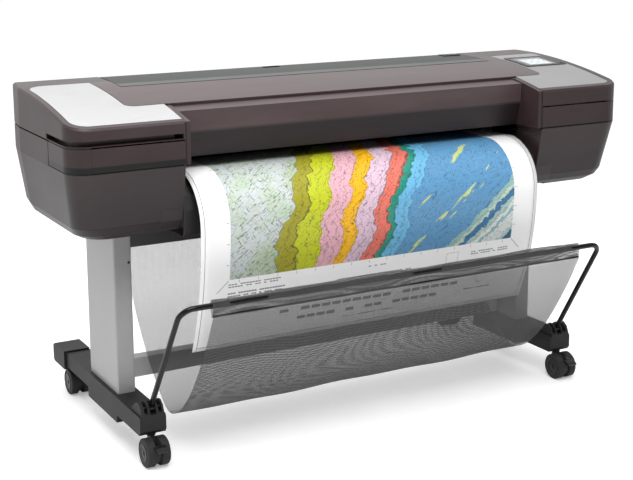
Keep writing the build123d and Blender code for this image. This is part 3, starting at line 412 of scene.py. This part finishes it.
def painted(name, colour, roughness, metallic=0.0, specular=0.5):
    """Powder coat: an even colour with a shallow orange-peel surface and a little dust."""
    graph = Graph(name, Metallic=metallic, Specular_IOR_Level=specular)
    place = graph.place()
    peel = graph.noise(place, 420.0, 2.0)
    dust = graph.noise(place, 14.0, 4.0, 0.6)
    dark = tuple(c * 0.93 for c in colour[:3]) + (1,)
    graph.set(Base_Color=graph.mix(graph.span(dust, 0.35, 0.65), dark, colour))
    graph.set(Roughness=graph.span(dust + peel * 0.3, 0.5, 0.9, roughness - 0.06, roughness + 0.06))
    graph.bump(peel, 0.00008)
    return graph.material


def silver_sheet():
    """The top panels' brushed silver: fine lines along X, a painted reflection that makes the left panel brighter, a
    painted highlight along the left panel's bevelled edge, and black edging on the right panel.
    """
    graph = Graph("silver_panel", Metallic=0.45)
    place = graph.place()
    parts = graph.node("SeparateXYZ", Vector=place)
    across = Signal(graph, parts.outputs["X"])
    depth = Signal(graph, parts.outputs["Y"])
    lines = graph.noise(graph.scaled(place, 4.0, 300.0, 300.0), 5.0, 3.0, 0.7)
    cloud = graph.noise(place, 5.0, 2.0)
    brushing = graph.span(lines * 0.75 + cloud * 0.25, 0.3, 0.7)
    # painted reflection: the left panel is painted brighter than the right, for the lights it reflects
    left_with_painted_glare = graph.mix(brushing, tone(172, 172, 173), tone(198, 198, 199))
    right_without_glare = graph.mix(brushing, tone(136, 136, 137), tone(162, 162, 163))
    colour = graph.mix(across > 0.0, left_with_painted_glare, right_without_glare)
    # painted highlight: a pale band along the left panel's bevelled edge, where it catches the light
    rim_highlight = (abs(across) > PANEL_OUT - RIM_HIGHLIGHT_WIDTH).either(depth < PANEL_FRONT + RIM_HIGHLIGHT_WIDTH)
    rim_highlight = rim_highlight.either(depth > PANEL_BACK - RIM_HIGHLIGHT_WIDTH)
    colour = graph.mix(rim_highlight * (across < 0.0), colour, tone(206, 207, 209))
    black_rim = (across > PANEL_OUT - 0.010).either((across > 0.0) * (depth > PANEL_BACK - 0.009))
    colour = graph.mix(black_rim, colour, tone(14, 14, 15))
    graph.set(Base_Color=colour)
    graph.set(Roughness=graph.span(lines, 0.3, 0.7, 0.34, 0.46))
    graph.bump(lines, 0.00002)
    return graph.material


def brushed(name, colour, roughness, metallic, stretch=(4.0, 260.0, 260.0)):
    """Brushed or rolled metal, with its fine lines along X."""
    graph = Graph(name, Metallic=metallic)
    place = graph.place()
    lines = graph.noise(graph.scaled(place, *stretch), 5.0, 3.0, 0.7)
    cloud = graph.noise(place, 6.0, 2.0)
    dark = tuple(c * 0.90 for c in colour[:3]) + (1,)
    graph.set(Base_Color=graph.mix(graph.span(lines * 0.8 + cloud * 0.2, 0.3, 0.7), dark, colour))
    graph.set(Roughness=graph.span(lines, 0.3, 0.7, roughness - 0.05, roughness + 0.07))
    graph.bump(lines, 0.00003)
    return graph.material


def rubber(name, colour):
    """Rubber: matt, with a pitted skin."""
    graph = Graph(name)
    place = graph.place()
    pits = graph.cells(place, 700.0)
    scuff = graph.noise(place, 30.0, 4.0, 0.65)
    worn = tuple(c * 1.7 + 0.004 for c in colour[:3]) + (1,)
    graph.set(Base_Color=graph.mix(graph.span(scuff, 0.45, 0.75), colour, worn))
    graph.set(Roughness=graph.span(scuff, 0.3, 0.7, 0.62, 0.82))
    graph.bump(pits, 0.0001)
    return graph.material


def display():
    """The touch screen: black glass with a lit, made-up menu of tiles in its middle."""
    graph = Graph("screen_glass", Coat_Weight=0.4, Coat_Roughness=0.08)
    place = graph.place()
    parts = graph.node("SeparateXYZ", Vector=place)
    across = (Signal(graph, parts.outputs["X"]) - SCREEN_LEFT) / (SCREEN_RIGHT - SCREEN_LEFT)
    along = (Signal(graph, parts.outputs["Y"]) - SCREEN_FRONT) / (SCREEN_BACK - SCREEN_FRONT)
    lit = across.between(0.13, 0.85) * along.between(0.06, 0.84)
    tile_x = ((across - 0.17) / 0.22).fract()
    tile_y = ((along - 0.12) / 0.30).fract()
    tile = tile_x.between(0.06, 0.88) * tile_y.between(0.06, 0.84)
    tile = tile * across.between(0.17, 0.83) * along.between(0.12, 0.72)
    symbol = tile * tile_x.between(0.34, 0.62) * tile_y.between(0.34, 0.66)
    bar = across.between(0.13, 0.85) * along.between(0.75, 0.84)
    smear = graph.noise(place, 60.0, 3.0)
    glass = graph.mix(graph.span(smear, 0.3, 0.7), tone(16, 17, 19), tone(24, 25, 28))
    picture = graph.mix(tile, tone(168, 178, 186), tone(206, 212, 216))
    picture = graph.mix(symbol, picture, tone(70, 108, 132))
    picture = graph.mix(bar, picture, tone(92, 104, 114))
    graph.set(Base_Color=graph.mix(lit, glass, picture))
    graph.set(Emission_Color=graph.mix(lit, (0.0, 0.0, 0.0, 1.0), picture), Emission_Strength=0.15)
    graph.set(Roughness=graph.span(smear, 0.3, 0.7, 0.12, 0.24))
    return graph.material


def mesh_fabric():
    """Open woven mesh: round threads with square holes between them."""
    pitch = 0.0030
    graph = Graph("mesh_fabric", Roughness=0.6, Sheen_Weight=0.2)
    across, along = graph.across_along()
    thread = 0.160
    hole_across = abs((across / pitch).fract() - 0.5) < 0.5 - thread
    hole_along = abs((along / pitch).fract() - 0.5) < 0.5 - thread
    flat = graph.vector(across, along)
    uneven = graph.noise(graph.scaled(flat, 3.0, 3.0, 1.0), 1.5, 3.0)
    graph.set(Base_Color=graph.ramp(uneven, [(0.3, tone(58, 58, 59)), (0.7, tone(74, 74, 75))]))
    graph.set(Alpha=1.0 - hole_across * hole_along)
    over = ((across / pitch).floor() + (along / pitch).floor()) * 0.5
    graph.bump(over.fract() * 2.0, 0.0002)
    return graph.material


MAP_HALF = 0.472                # the printed map reaches this far from the sheet's middle
MAP_LOW = 0.222                 # and starts this far above its lower edge
BORDER_IN = 0.012               # the thin printed border inside the sheet's edge

BAND_START = -0.62              # where the run of coloured bands is taken to start
BAND_WIDTH = 1.24
BANDS = (
    (-0.365, tone(166, 160, 38)),
    (-0.312, tone(198, 206, 34)),
    (-0.240, tone(232, 178, 190)),
    (-0.170, tone(250, 188, 20)),
    (-0.122, tone(226, 196, 214)),
    (-0.060, tone(236, 122, 104)),
    (-0.012, tone(34, 150, 128)),
    (0.010, tone(112, 186, 226)),
    (0.062, tone(98, 156, 200)),
)


THICK_EDGES = (-0.312, -0.060, -0.012)  # bands that end in a heavy fault line


def greeked(graph, across, along, left, right, low, high, rows, word):
    """Rows of plain dashes where a print has lines of text."""
    line = (along - low) / ((high - low) / rows)
    step = (across - left) / word
    gap = graph.random(graph.vector(step.floor(), line.floor(), left)) > 0.22
    inked = line.fract().between(0.22, 0.72) * step.fract().between(0.0, 0.82)
    return inked * gap * across.between(left, right) * along.between(low, high)


def printed_paper():
    """White paper printed with a made-up geological map: wavy coloured bands, contour lines and ticks."""
    graph = Graph("printed_paper", Roughness=0.42)
    across, along = graph.across_along()
    flat = graph.vector(across, along)
    slow = graph.noise(graph.vector(across * 1.2, along * 4.0), 1.0, 1.0) - 0.5
    middling = graph.noise(graph.vector(across * 1.5, along * 12.0, 5.0), 1.0, 2.0, 0.6) - 0.5
    quick = graph.noise(flat, 46.0, 3.0, 0.65) - 0.5
    wander = slow * 0.16 + middling * 0.09 + quick * 0.034
    course = across - (along - MAP_LOW) * 0.42 + wander
    stops = [((edge - BAND_START) / BAND_WIDTH, colour) for edge, colour in BANDS]
    bands = graph.ramp((course - BAND_START) / BAND_WIDTH, [(0.0, tone(204, 219, 213))] + stops, "CONSTANT")

    pale = graph.noise(flat, 7.0, 2.0)
    plain = graph.ramp(pale, [(0.40, tone(190, 208, 184)), (0.52, tone(206, 212, 214)), (0.62, tone(184, 200, 172))])
    ink = graph.mix(course < BANDS[0][0], bands, plain)

    turned = across * 0.79 + along * 0.61
    crossed = along * 0.79 - across * 0.61
    streak = graph.noise(graph.vector(turned * 3.2, crossed * 21.0, 3.0), 1.0, 3.0, 0.6)
    blue = course > BANDS[-1][0] + 0.03
    ink = graph.mix(blue * (streak > 0.625), ink, tone(186, 210, 172))
    ink = graph.mix(blue * streak.between(0.632, 0.650), ink, tone(214, 220, 110))
    veins = graph.noise(graph.vector(turned * 5.0, crossed * 30.0, 9.0), 1.0, 3.0, 0.6)
    ink = graph.mix(blue * (veins > 0.66), ink, tone(108, 160, 190))

    corner = (along - MAP_LOW) - (across - 0.230) * 0.80 + (slow + quick) * 0.05
    stripes = graph.ramp(corner * -5.0, [
        (0.0, tone(158, 196, 190)), (0.10, tone(206, 222, 200)), (0.16, tone(60, 124, 170)),
        (0.27, tone(182, 208, 202)), (0.36, tone(228, 236, 230)), (0.44, tone(150, 190, 196)),
        (0.50, tone(224, 232, 228)), (0.72, tone(180, 204, 204)), (0.80, tone(40, 104, 132)),
    ], "CONSTANT")
    ink = graph.mix(corner < 0.0, ink, stripes)

    contours = abs((graph.noise(flat, 8.0, 4.0, 0.55) * 30.0).fract() - 0.5) < 0.06
    faults = abs((graph.noise(graph.vector(turned * 2.0, crossed * 9.0), 3.0, 2.0) * 11.0).fract() - 0.5) < 0.045
    specks = graph.cells(graph.vector(turned * 46.0, crossed * 170.0), 1.0) < 0.20
    left_side = course < BANDS[0][0]
    dashes = graph.cells(graph.vector(turned * 30.0, crossed * 150.0, 4.0), 1.0) < 0.22
    edges = abs(course - BANDS[0][0]) < 0.0016
    for edge, _ in BANDS[1:]:
        edges = edges.either(abs(course - edge) < (0.0019 if edge in THICK_EDGES else 0.0009))
    along_band = abs(((course + quick * 0.012) * 34.0).fract() - 0.5) < 0.035
    middle = course.between(BANDS[0][0], BANDS[-1][0])
    lines = contours * 0.42 + faults * 0.5 + specks * 0.5 + along_band * middle * 0.7
    lines = lines + dashes * left_side * 0.75 + edges * (corner > 0.0) * 0.9
    strokes = graph.cells(graph.vector(crossed * 26.0, turned * 120.0, 8.0), 1.0) < 0.20
    lines = lines + strokes * left_side * 0.6
    ink = graph.mix(lines.clamped() * 0.78, ink, tone(36, 42, 46))

    in_map = (abs(across) < MAP_HALF) * (along > MAP_LOW)
    white = tone(252, 252, 252)
    paper = graph.mix(in_map, white, ink)

    tick_up = abs((across / 0.059).fract() - 0.5) < 0.012
    tick_up = tick_up * along.between(MAP_LOW - 0.011, MAP_LOW - 0.003) * (abs(across) < MAP_HALF)
    tick_side = abs((along / 0.059).fract() - 0.5) < 0.012
    tick_side = tick_side * abs(across).between(MAP_HALF + 0.003, MAP_HALF + 0.011) * (along > MAP_LOW)
    corner_mark = abs(abs(across) - MAP_HALF + (along - MAP_LOW)) < 0.0012
    corner_mark = corner_mark * abs(across).between(MAP_HALF + 0.003, MAP_HALF + 0.036)
    captions = [
        (-0.474, -0.315, 0.196, 0.210, 2, 0.009), (-0.474, -0.290, 0.166, 0.184, 2, 0.008),
        (-0.130, 0.130, 0.168, 0.175, 1, 0.010), (-0.030, 0.030, 0.196, 0.202, 1, 0.010),
        (0.330, 0.466, 0.184, 0.198, 2, 0.009), (-0.305, 0.300, 0.084, 0.106, 1, 0.034),
        (-0.245, 0.250, 0.054, 0.076, 1, 0.032), (-0.090, 0.095, 0.036, 0.043, 1, 0.010),
        (0.330, 0.440, 0.060, 0.070, 1, 0.012),
    ]
    marks = tick_up.either(tick_side).either(corner_mark)
    for caption in captions:
        marks = marks.either(greeked(graph, across, along, *caption))
    paper = graph.mix(marks * 0.8, paper, tone(40, 40, 42))
    frame_box = (abs(across - 0.262) < 0.021) * (abs(along - 0.185) < 0.017)
    frame_hole = (abs(across - 0.262) < 0.0195) * (abs(along - 0.185) < 0.0155)
    seal = graph.node("VectorMath", {"operation": "LENGTH"}, Vector=graph.vector(across - 0.385, along - 0.105))
    seal_ring = abs(Signal(graph, seal.outputs["Value"]) - 0.022) < 0.0012
    paper = graph.mix((frame_box * (1.0 - frame_hole)).either(seal_ring) * 0.6, paper, tone(90, 90, 94))
    edge_side = abs(abs(across) - (SHEET_HALF - BORDER_IN)) < 0.0011
    edge_low = (abs(along - BORDER_IN) < 0.0011) * (abs(across) < SHEET_HALF - BORDER_IN)
    paper = graph.mix(edge_side.either(edge_low) * 0.75, paper, tone(96, 98, 102))

    fibre = graph.noise(flat, 700.0, 2.0)
    graph.set(Base_Color=paper)
    graph.set(Roughness=graph.span(fibre, 0.3, 0.7, 0.38, 0.5))
    graph.bump(fibre, 0.00002)
    return graph.material


MATERIALS = {
    "body_plastic": body_plastic(),
    "lid_plastic": lid_plastic(),
    "silver_panel": silver_sheet(),
    "black_plastic": moulded("black_plastic", tone(20, 18, 19), 0.36),
    "screen_glass": display(),
    "column_paint": painted("column_paint", tone(164, 164, 165), 0.42, 0.15),
    "beam_paint": painted("beam_paint", tone(62, 62, 64), 0.5),
    "foot_plastic": moulded("foot_plastic", tone(30, 29, 31), 0.55, grain=0.0016, depth=0.00014, specular=0.35),
    "caster_plastic": moulded("caster_plastic", tone(22, 22, 24), 0.36, specular=0.35),
    "caster_tyre": rubber("caster_tyre", tone(27, 27, 28)),
    "tube_enamel": painted("tube_enamel", tone(8, 8, 9), 0.2, specular=0.3),
    "mesh_fabric": mesh_fabric(),
    "printed_paper": printed_paper(),
    "roll_paper": moulded("roll_paper", tone(236, 236, 234), 0.6, spread=0.02),
    "sheet_steel": brushed("sheet_steel", tone(168, 170, 172), 0.36, 0.9),
    "platen_plastic": moulded("platen_plastic", tone(150, 150, 150), 0.45),
    "roller_rubber": rubber("roller_rubber", tone(34, 34, 36)),
    "gear_plastic": moulded("gear_plastic", tone(224, 222, 212), 0.4, spread=0.05),
    "mechanism_plastic": moulded("mechanism_plastic", tone(46, 47, 50), 0.42),
}


NODE_MATERIALS = {              # nodes whose finish depends on where on them it is
    "lower_cover": lower_cover_plastic(),
    "roll_cover": roll_cover_plastic(),
    "crossbar": painted("crossbar_paint", tone(196, 196, 198), 0.5),
    "front_window": window_plastic(),
}


def finish_with(obj, slot):
    """Gives an object the finish of one of the record's slots."""
    obj.data.materials.clear()
    obj.data.materials.append(MATERIALS[slot])


def finish_cad_nodes():
    """Every CAD node gets the procedural finish of its own slot."""
    for part in RECORD["subparts"]:
        node = NODES[part["node"]]
        finish_with(node, part["material_slot"])
        if part["node"] in NODE_MATERIALS:
            node.data.materials[0] = NODE_MATERIALS[part["node"]]


# ------------------------------------------------------------------ mesh helpers
def piece(name, mesh, slot, body=None):
    """A new object in the row frame, with its finish, on its body."""
    obj = bpy.data.objects.new(name, mesh)
    bpy.context.scene.collection.objects.link(obj)
    finish_with(obj, slot)
    if body:
        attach(obj, body)
    return obj


def swept_sheet(name, profile, half_width, columns, lift=None):
    """A sheet from a line of (y, z) points, with a UV layer in metres. lift(x, along) moves it off its line."""
    lengths = [0.0]
    for before, after in zip(profile, profile[1:]):
        lengths.append(lengths[-1] + math.dist(before, after))
    mesh = bpy.data.meshes.new(name)
    build = bmesh.new()
    layer = build.loops.layers.uv.new("flat")
    rows = []
    for index, (y, z) in enumerate(profile):
        before = profile[max(index - 1, 0)]
        after = profile[min(index + 1, len(profile) - 1)]
        run = math.dist(before, after)
        normal = ((before[1] - after[1]) / run, (after[0] - before[0]) / run)
        row = []
        for column in range(columns + 1):
            x = half_width * (2 * column / columns - 1)
            away = lift(x, lengths[index]) if lift else 0.0
            row.append(build.verts.new((x, y + normal[0] * away, z + normal[1] * away)))
        rows.append(row)
    for index in range(len(rows) - 1):
        for column in range(columns):
            corners = ((index, column), (index, column + 1), (index + 1, column + 1), (index + 1, column))
            face = build.faces.new([rows[r][c] for r, c in corners])
            face.smooth = True
            for loop, (r, c) in zip(face.loops, corners):
                loop[layer].uv = (half_width * (2 * c / columns - 1), lengths[r])
    build.to_mesh(mesh)
    build.free()
    return mesh, lengths[-1]


def thicken(obj, thickness, back=None):
    """Gives a sheet its real thickness, and its other face and its edges a finish of their own."""
    solid = obj.modifiers.new("thickness", "SOLIDIFY")
    solid.thickness = thickness
    solid.offset = 0.0
    if back:
        obj.data.materials.append(MATERIALS[back])
        solid.material_offset = 1
        solid.material_offset_rim = 1


def arc(centre_yz, radius, start, end, steps):
    """Points on a circle seen from the side, from one angle to another, in degrees from +Y towards +Z."""
    points = []
    for step in range(steps + 1):
        angle = math.radians(start + (end - start) * step / steps)
        points.append((centre_yz[0] + radius * math.cos(angle), centre_yz[1] + radius * math.sin(angle)))
    return points


def smooth_line(points, steps):
    """A smooth line through (y, z) points, as a centripetal Catmull-Rom curve."""
    first = tuple(2 * a - b for a, b in zip(points[0], points[1]))
    last = tuple(2 * a - b for a, b in zip(points[-1], points[-2]))
    extended = [Vector(p) for p in (first, *points, last)]
    line = [tuple(points[0])]
    for p0, p1, p2, p3 in zip(extended, extended[1:], extended[2:], extended[3:]):
        t1 = (p1 - p0).length ** 0.5
        t2 = t1 + (p2 - p1).length ** 0.5
        t3 = t2 + (p3 - p2).length ** 0.5
        for step in range(1, steps + 1):
            t = t1 + (t2 - t1) * step / steps
            a1 = p0 * ((t1 - t) / t1) + p1 * (t / t1)
            a2 = p1 * ((t2 - t) / (t2 - t1)) + p2 * ((t - t1) / (t2 - t1))
            a3 = p2 * ((t3 - t) / (t3 - t2)) + p3 * ((t - t2) / (t3 - t2))
            b1 = a1 * ((t2 - t) / t2) + a2 * (t / t2)
            b2 = a2 * ((t3 - t) / (t3 - t1)) + a3 * ((t - t1) / (t3 - t1))
            line.append(tuple(b1 * ((t2 - t) / (t2 - t1)) + b2 * ((t - t1) / (t2 - t1))))
    return line


# ------------------------------------------------------------------ camera, light and floor
def make_camera():
    """The photograph's viewpoint: from the front left, a little above the machine."""
    camera = bpy.data.objects.new("camera", bpy.data.cameras.new("camera"))
    bpy.context.scene.collection.objects.link(camera)
    camera.data.lens = 74.25
    camera.data.shift_y = -0.10
    camera.data.clip_end = 60
    yaw, pitch, roll = 0.5050, 0.1988, -0.0040
    forward = Vector((math.sin(yaw) * math.cos(pitch), math.cos(yaw) * math.cos(pitch), -math.sin(pitch)))
    level = Vector((math.cos(yaw), -math.sin(yaw), 0))
    up = level.cross(forward)
    right = level * math.cos(roll) + up * math.sin(roll)
    up = up * math.cos(roll) - level * math.sin(roll)
    turn = Matrix((right, up, -forward)).transposed().to_4x4()
    camera.matrix_world = Matrix.Translation((-1.9124, -3.3769, 1.4606)) @ turn
    bpy.context.scene.camera = camera


def area_light(name, place, target, size, power):
    """A soft box that shines from place towards target."""
    light = bpy.data.lights.new(name, "AREA")
    light.shape = "RECTANGLE"
    light.size, light.size_y = size
    light.energy = power
    obj = bpy.data.objects.new(name, light)
    bpy.context.scene.collection.objects.link(obj)
    obj.location = place
    obj.rotation_euler = (Vector(target) - Vector(place)).to_track_quat("-Z", "Y").to_euler()
    return obj


def make_studio():
    """A white cove, brighter above and behind the machine, with a high key light in front of it."""
    scene = bpy.context.scene
    scene.view_settings.view_transform = "Standard"
    scene.world = bpy.data.worlds.new("studio")
    scene.world.use_nodes = True
    tree = scene.world.node_tree
    background = tree.nodes["Background"]
    direction = tree.nodes.new("ShaderNodeTexCoord").outputs["Generated"]
    parts = tree.nodes.new("ShaderNodeSeparateXYZ")
    tree.links.new(direction, parts.inputs["Vector"])
    lift = tree.nodes.new("ShaderNodeMath")
    lift.operation = "MULTIPLY_ADD"
    lift.inputs[1].default_value, lift.inputs[2].default_value = 0.34, 0.50
    tree.links.new(parts.outputs["Z"], lift.inputs[0])
    turn = tree.nodes.new("ShaderNodeMath")
    turn.operation = "MULTIPLY_ADD"
    turn.inputs[1].default_value = 0.46
    tree.links.new(parts.outputs["Y"], turn.inputs[0])
    tree.links.new(lift.outputs[0], turn.inputs[2])
    seen = tree.nodes.new("ShaderNodeLightPath").outputs["Is Camera Ray"]
    strength = tree.nodes.new("ShaderNodeMath")
    strength.operation = "MAXIMUM"
    tree.links.new(turn.outputs[0], strength.inputs[0])
    tree.links.new(seen, strength.inputs[1])
    tree.links.new(strength.outputs[0], background.inputs["Strength"])
    background.inputs["Color"].default_value = (1.0, 1.0, 1.0, 1.0)
    area_light("top_box", (-0.4, 0.4, 3.6), (0, 0, 0.6), (3.2, 2.2), 55)
    area_light("key_box", (-0.9, -2.3, 3.5), (0, -0.1, 0.7), (2.6, 1.6), 100)
    area_light("left_box", (-4.2, -0.6, 1.8), (-0.6, 0, 0.7), (1.6, 2.0), 10)


def make_floor():
    """A plain pale floor under the wheels."""
    graph = Graph("floor", Roughness=0.9, Emission_Color=(1.0, 1.0, 1.0, 1.0))
    seen = Signal(graph, graph.node("LightPath").outputs["Is Camera Ray"])
    graph.set(Emission_Strength=seen * 0.30)
    cloud = graph.noise(graph.place(), 3.0, 3.0)
    graph.set(Base_Color=graph.ramp(cloud, [(0.3, tone(248, 248, 248)), (0.7, tone(252, 252, 252))]))
    mesh = bpy.data.meshes.new("floor")
    build = bmesh.new()
    bmesh.ops.create_circle(build, cap_ends=True, segments=64, radius=14)
    build.to_mesh(mesh)
    build.free()
    floor = bpy.data.objects.new("floor", mesh)
    bpy.context.scene.collection.objects.link(floor)
    floor.data.materials.append(graph.material)


# ------------------------------------------------------------------ basket fabric
# The fabric seen from the side, as (y, z), from its front hem to the rear rod.
CLOTH_LINE = (
    (-0.399, 0.344), (-0.290, 0.185), (-0.198, 0.104), (-0.133, 0.088),
    (-0.034, 0.159), (0.039, 0.238), (0.124, 0.370), (0.1425, 0.500),
)


def ripple(x, along):
    """The fabric's slack: shallow waves across its width."""
    return 0.0016 * math.sin(x * 11.0 + along * 3.0) + 0.0012 * math.sin(x * 23.0 - along * 7.0 + 1.3)


def make_fabric():
    """One strip of mesh with a sleeve round the tube at its front and one round the rod at its back."""
    round_tube = TUBE_RADIUS + CLOTH_GAP + CLOTH_THICK
    round_rod = ROD_RADIUS + CLOTH_GAP + CLOTH_THICK
    hem_side = HEM_RADIUS + CLOTH_GAP
    front_sleeve = [(HEM.y + hem_side, HEM.z - 0.005), (HEM.y + hem_side, HEM.z + 0.006)]
    front_sleeve += arc((TUBE_Y, TUBE_Z), round_tube, -20, 20, 4)
    front_sleeve += arc((TUBE_Y, TUBE_Z + HEM_FOLD), HEM_ROUND, 0, 180, 8)
    front_sleeve += arc((TUBE_Y, TUBE_Z), round_tube, 160, 200, 4)
    front_sleeve += [(HEM.y - hem_side, HEM.z + 0.002), (HEM.y - hem_side + 0.0005, HEM.z - 0.006)]
    body = smooth_line([front_sleeve[-1], *CLOTH_LINE, (ROD.y + round_rod, ROD.z - 0.012)], 10)[1:]
    rear_sleeve = arc((ROD.y, ROD.z), round_rod, -15, 195, 14)
    rear_sleeve += [(ROD.y - 0.002, ROD.z - 0.022)]
    profile = front_sleeve + body + rear_sleeve
    mesh, length = swept_sheet("basket_fabric", profile, CLOTH_HALF, 60, ripple)
    fabric = piece("basket_fabric", mesh, "mesh_fabric")
    thicken(fabric, CLOTH_THICK)
    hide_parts("basket_front_panel", "basket_rear_panel")
    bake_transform(fabric)


# ------------------------------------------------------------------ printed sheet
def make_sheet():
    """The printed sheet: flat on the platen, over its front edge, then hanging with the curl of its roll."""
    curl_centre = (SHEET_LOW.y + SHEET_CURL, SHEET_TOP - SHEET_BEND)
    curl_degrees = math.degrees(SHEET_CURL_ANGLE)
    profile = arc(curl_centre, SHEET_CURL, 180 + curl_degrees, 180, 30)
    profile += arc((SHEET_BEND_Y, SHEET_TOP - SHEET_BEND), SHEET_BEND, 180, 90, 24)[1:]
    profile += [(SHEET_BEND_Y + (SHEET_BACK_Y - SHEET_BEND_Y) * step / 4, SHEET_TOP) for step in range(1, 5)]
    mesh, _ = swept_sheet("printed_sheet", profile, SHEET_HALF, 40)
    sheet = piece("printed_sheet", mesh, "printed_paper")
    thicken(sheet, SHEET_THICK, "roll_paper")
    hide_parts("paper_sheet")
    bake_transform(sheet)


# ------------------------------------------------------------------ small parts
def lathe(build, profile, origin, axis, steps=24):
    """Turns a line of (radius, height) points round an axis through origin."""
    frame_axis = Vector(axis).normalized()
    side = frame_axis.orthogonal().normalized()
    other = frame_axis.cross(side)
    rings = []
    for radius, height in profile:
        foot = Vector(origin) + frame_axis * height
        if radius == 0:
            rings.append([build.verts.new(foot)])
            continue
        angles = [2 * math.pi * step / steps for step in range(steps)]
        rings.append([build.verts.new(foot + (side * math.cos(a) + other * math.sin(a)) * radius) for a in angles])
    for first, second in zip(rings, rings[1:]):
        for step in range(steps):
            after = (step + 1) % steps
            loop = [first[step % len(first)], first[after % len(first)],
                    second[after % len(second)], second[step % len(second)]]
            corners = [v for i, v in enumerate(loop) if v not in loop[:i]]
            face = build.faces.new(corners)
            face.smooth = True


def bar(build, low, high, soft=0.0):
    """A block between two corners, with its four long edges softened."""
    (x0, y0, z0), (x1, y1, z1) = low, high
    outline = [(y0 + soft, z0), (y1 - soft, z0), (y1, z0 + soft), (y1, z1 - soft),
               (y1 - soft, z1), (y0 + soft, z1), (y0, z1 - soft), (y0, z0 + soft)]
    ends = [[build.verts.new((x, y, z)) for y, z in outline] for x in (x0, x1)]
    build.faces.new(ends[0][::-1])
    build.faces.new(ends[1])
    for step in range(8):
        after = (step + 1) % 8
        build.faces.new((ends[0][step], ends[0][after], ends[1][after], ends[1][step]))


def built(name, slot, body, fill):
    """A piece whose mesh is made by fill(build)."""
    mesh = bpy.data.meshes.new(name)
    build = bmesh.new()
    fill(build)
    bmesh.ops.recalc_face_normals(build, faces=build.faces[:])
    build.to_mesh(mesh)
    build.free()
    return piece(name, mesh, slot, body)


HUB = ((0.0, 0.0022), (0.0050, 0.0022), (0.0060, 0.0010), (0.0185, 0.0006), (0.0200, 0.0016),
       (0.0240, 0.0016), (0.0255, 0.0002), (0.0255, -0.0004))
SCREW = ((0.0, 0.0004), (0.0016, 0.0004), (0.0019, 0.0016), (0.0030, 0.0017),
         (0.0041, 0.0010), (0.0044, -0.0004))
PANEL_SCREW_X = (0.625, 0.850)
PANEL_SCREW_Z = (0.838, 0.925)
VENT_IN, VENT_OUT = 0.665, 0.815     # a vent's inner and outer ends
LOUVRES = 9
LOUVRE_LOW = 0.846
LOUVRE_PITCH = 0.009
STITCH_EDGE = 0.006                  # from the fabric's edge to its first stitch
STITCH_PITCH = 0.009
STITCH_LENGTH = 0.0062


def make_hubs():
    """A stepped cap in the middle of every caster wheel's two faces."""
    for end in ("front", "rear"):
        for side in ("left", "right"):
            low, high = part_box(f"{end}_{side}_wheel")
            middle = (low + high) / 2

            def fill(build):
                for x, way in ((low.x, -1), (high.x, 1)):
                    lathe(build, HUB, (x, middle.y, middle.z), (way, 0, 0), 32)

            built(f"{end}_{side}_hub_caps", "caster_plastic", f"{end}_{side}_wheels", fill)


def make_screws():
    """Recessed-head screws on the back panels and the backs of the columns."""
    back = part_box("right_cabinet_upper")[1].y
    column_low, column_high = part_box("right_column")

    def fill(build):
        for sign in (-1, 1):
            for x in PANEL_SCREW_X:
                for z in PANEL_SCREW_Z:
                    lathe(build, SCREW, (sign * x, back, z), (0, 1, 0), 16)
            for z in (column_low.z + 0.030, column_low.z + 0.090, column_high.z - 0.040):
                for x in (column_low.x + 0.010, column_high.x - 0.010):
                    lathe(build, SCREW, (sign * x, column_high.y, z), (0, 1, 0), 16)

    built("case_screws", "sheet_steel", "root", fill)


def make_vents():
    """Louvred vents on the cabinets' back panels."""
    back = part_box("right_cabinet_upper")[1].y

    def fill(build):
        for sign in (-1, 1):
            left, right = sorted((sign * VENT_IN, sign * VENT_OUT))
            for step in range(LOUVRES):
                z = LOUVRE_LOW + step * LOUVRE_PITCH
                bar(build, (left, back - 0.0005, z), (right, back + 0.0028, z + 0.0042), 0.0012)
            for x in (left - 0.004, right):
                bar(build, (x, back - 0.0005, 0.842), (x + 0.004, back + 0.0022, 0.926), 0.0008)

    built("back_vents", "black_plastic", "root", fill)


def make_stitches():
    """Two rows of thread along the fabric's front hem."""
    face = HEM.y - HEM_RADIUS - CLOTH_GAP - CLOTH_THICK / 2

    def fill(build):
        for z in (HEM.z + 0.0065, HEM.z + 0.0105):
            count = int(2 * (CLOTH_HALF - STITCH_EDGE) / STITCH_PITCH)
            for step in range(count):
                x = -CLOTH_HALF + STITCH_EDGE + step * STITCH_PITCH
                near = (x, face - 0.0011, z - 0.0004)
                bar(build, near, (x + STITCH_LENGTH, face + 0.0001, z + 0.0004), 0.0003)

    built("hem_stitches", "tube_enamel", "basket", fill)


def make_inlet_pins():
    """The three flat contacts inside the mains inlet."""
    low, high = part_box("electronics_box")

    def fill(build):
        for x, z in ((-0.724, 0.698), (-0.712, 0.698), (-0.718, 0.705)):
            near = (x - 0.001, high.y - 0.014, z - 0.0022)
            bar(build, near, (x + 0.001, high.y - 0.003, z + 0.0022), 0.0004)

    built("inlet_pins", "sheet_steel", "root", fill)


# ------------------------------------------------------------------ build
make_camera()
make_studio()
make_floor()
finish_cad_nodes()
make_fabric()
make_sheet()
make_hubs()
make_screws()
make_vents()
make_stitches()
make_inlet_pins()
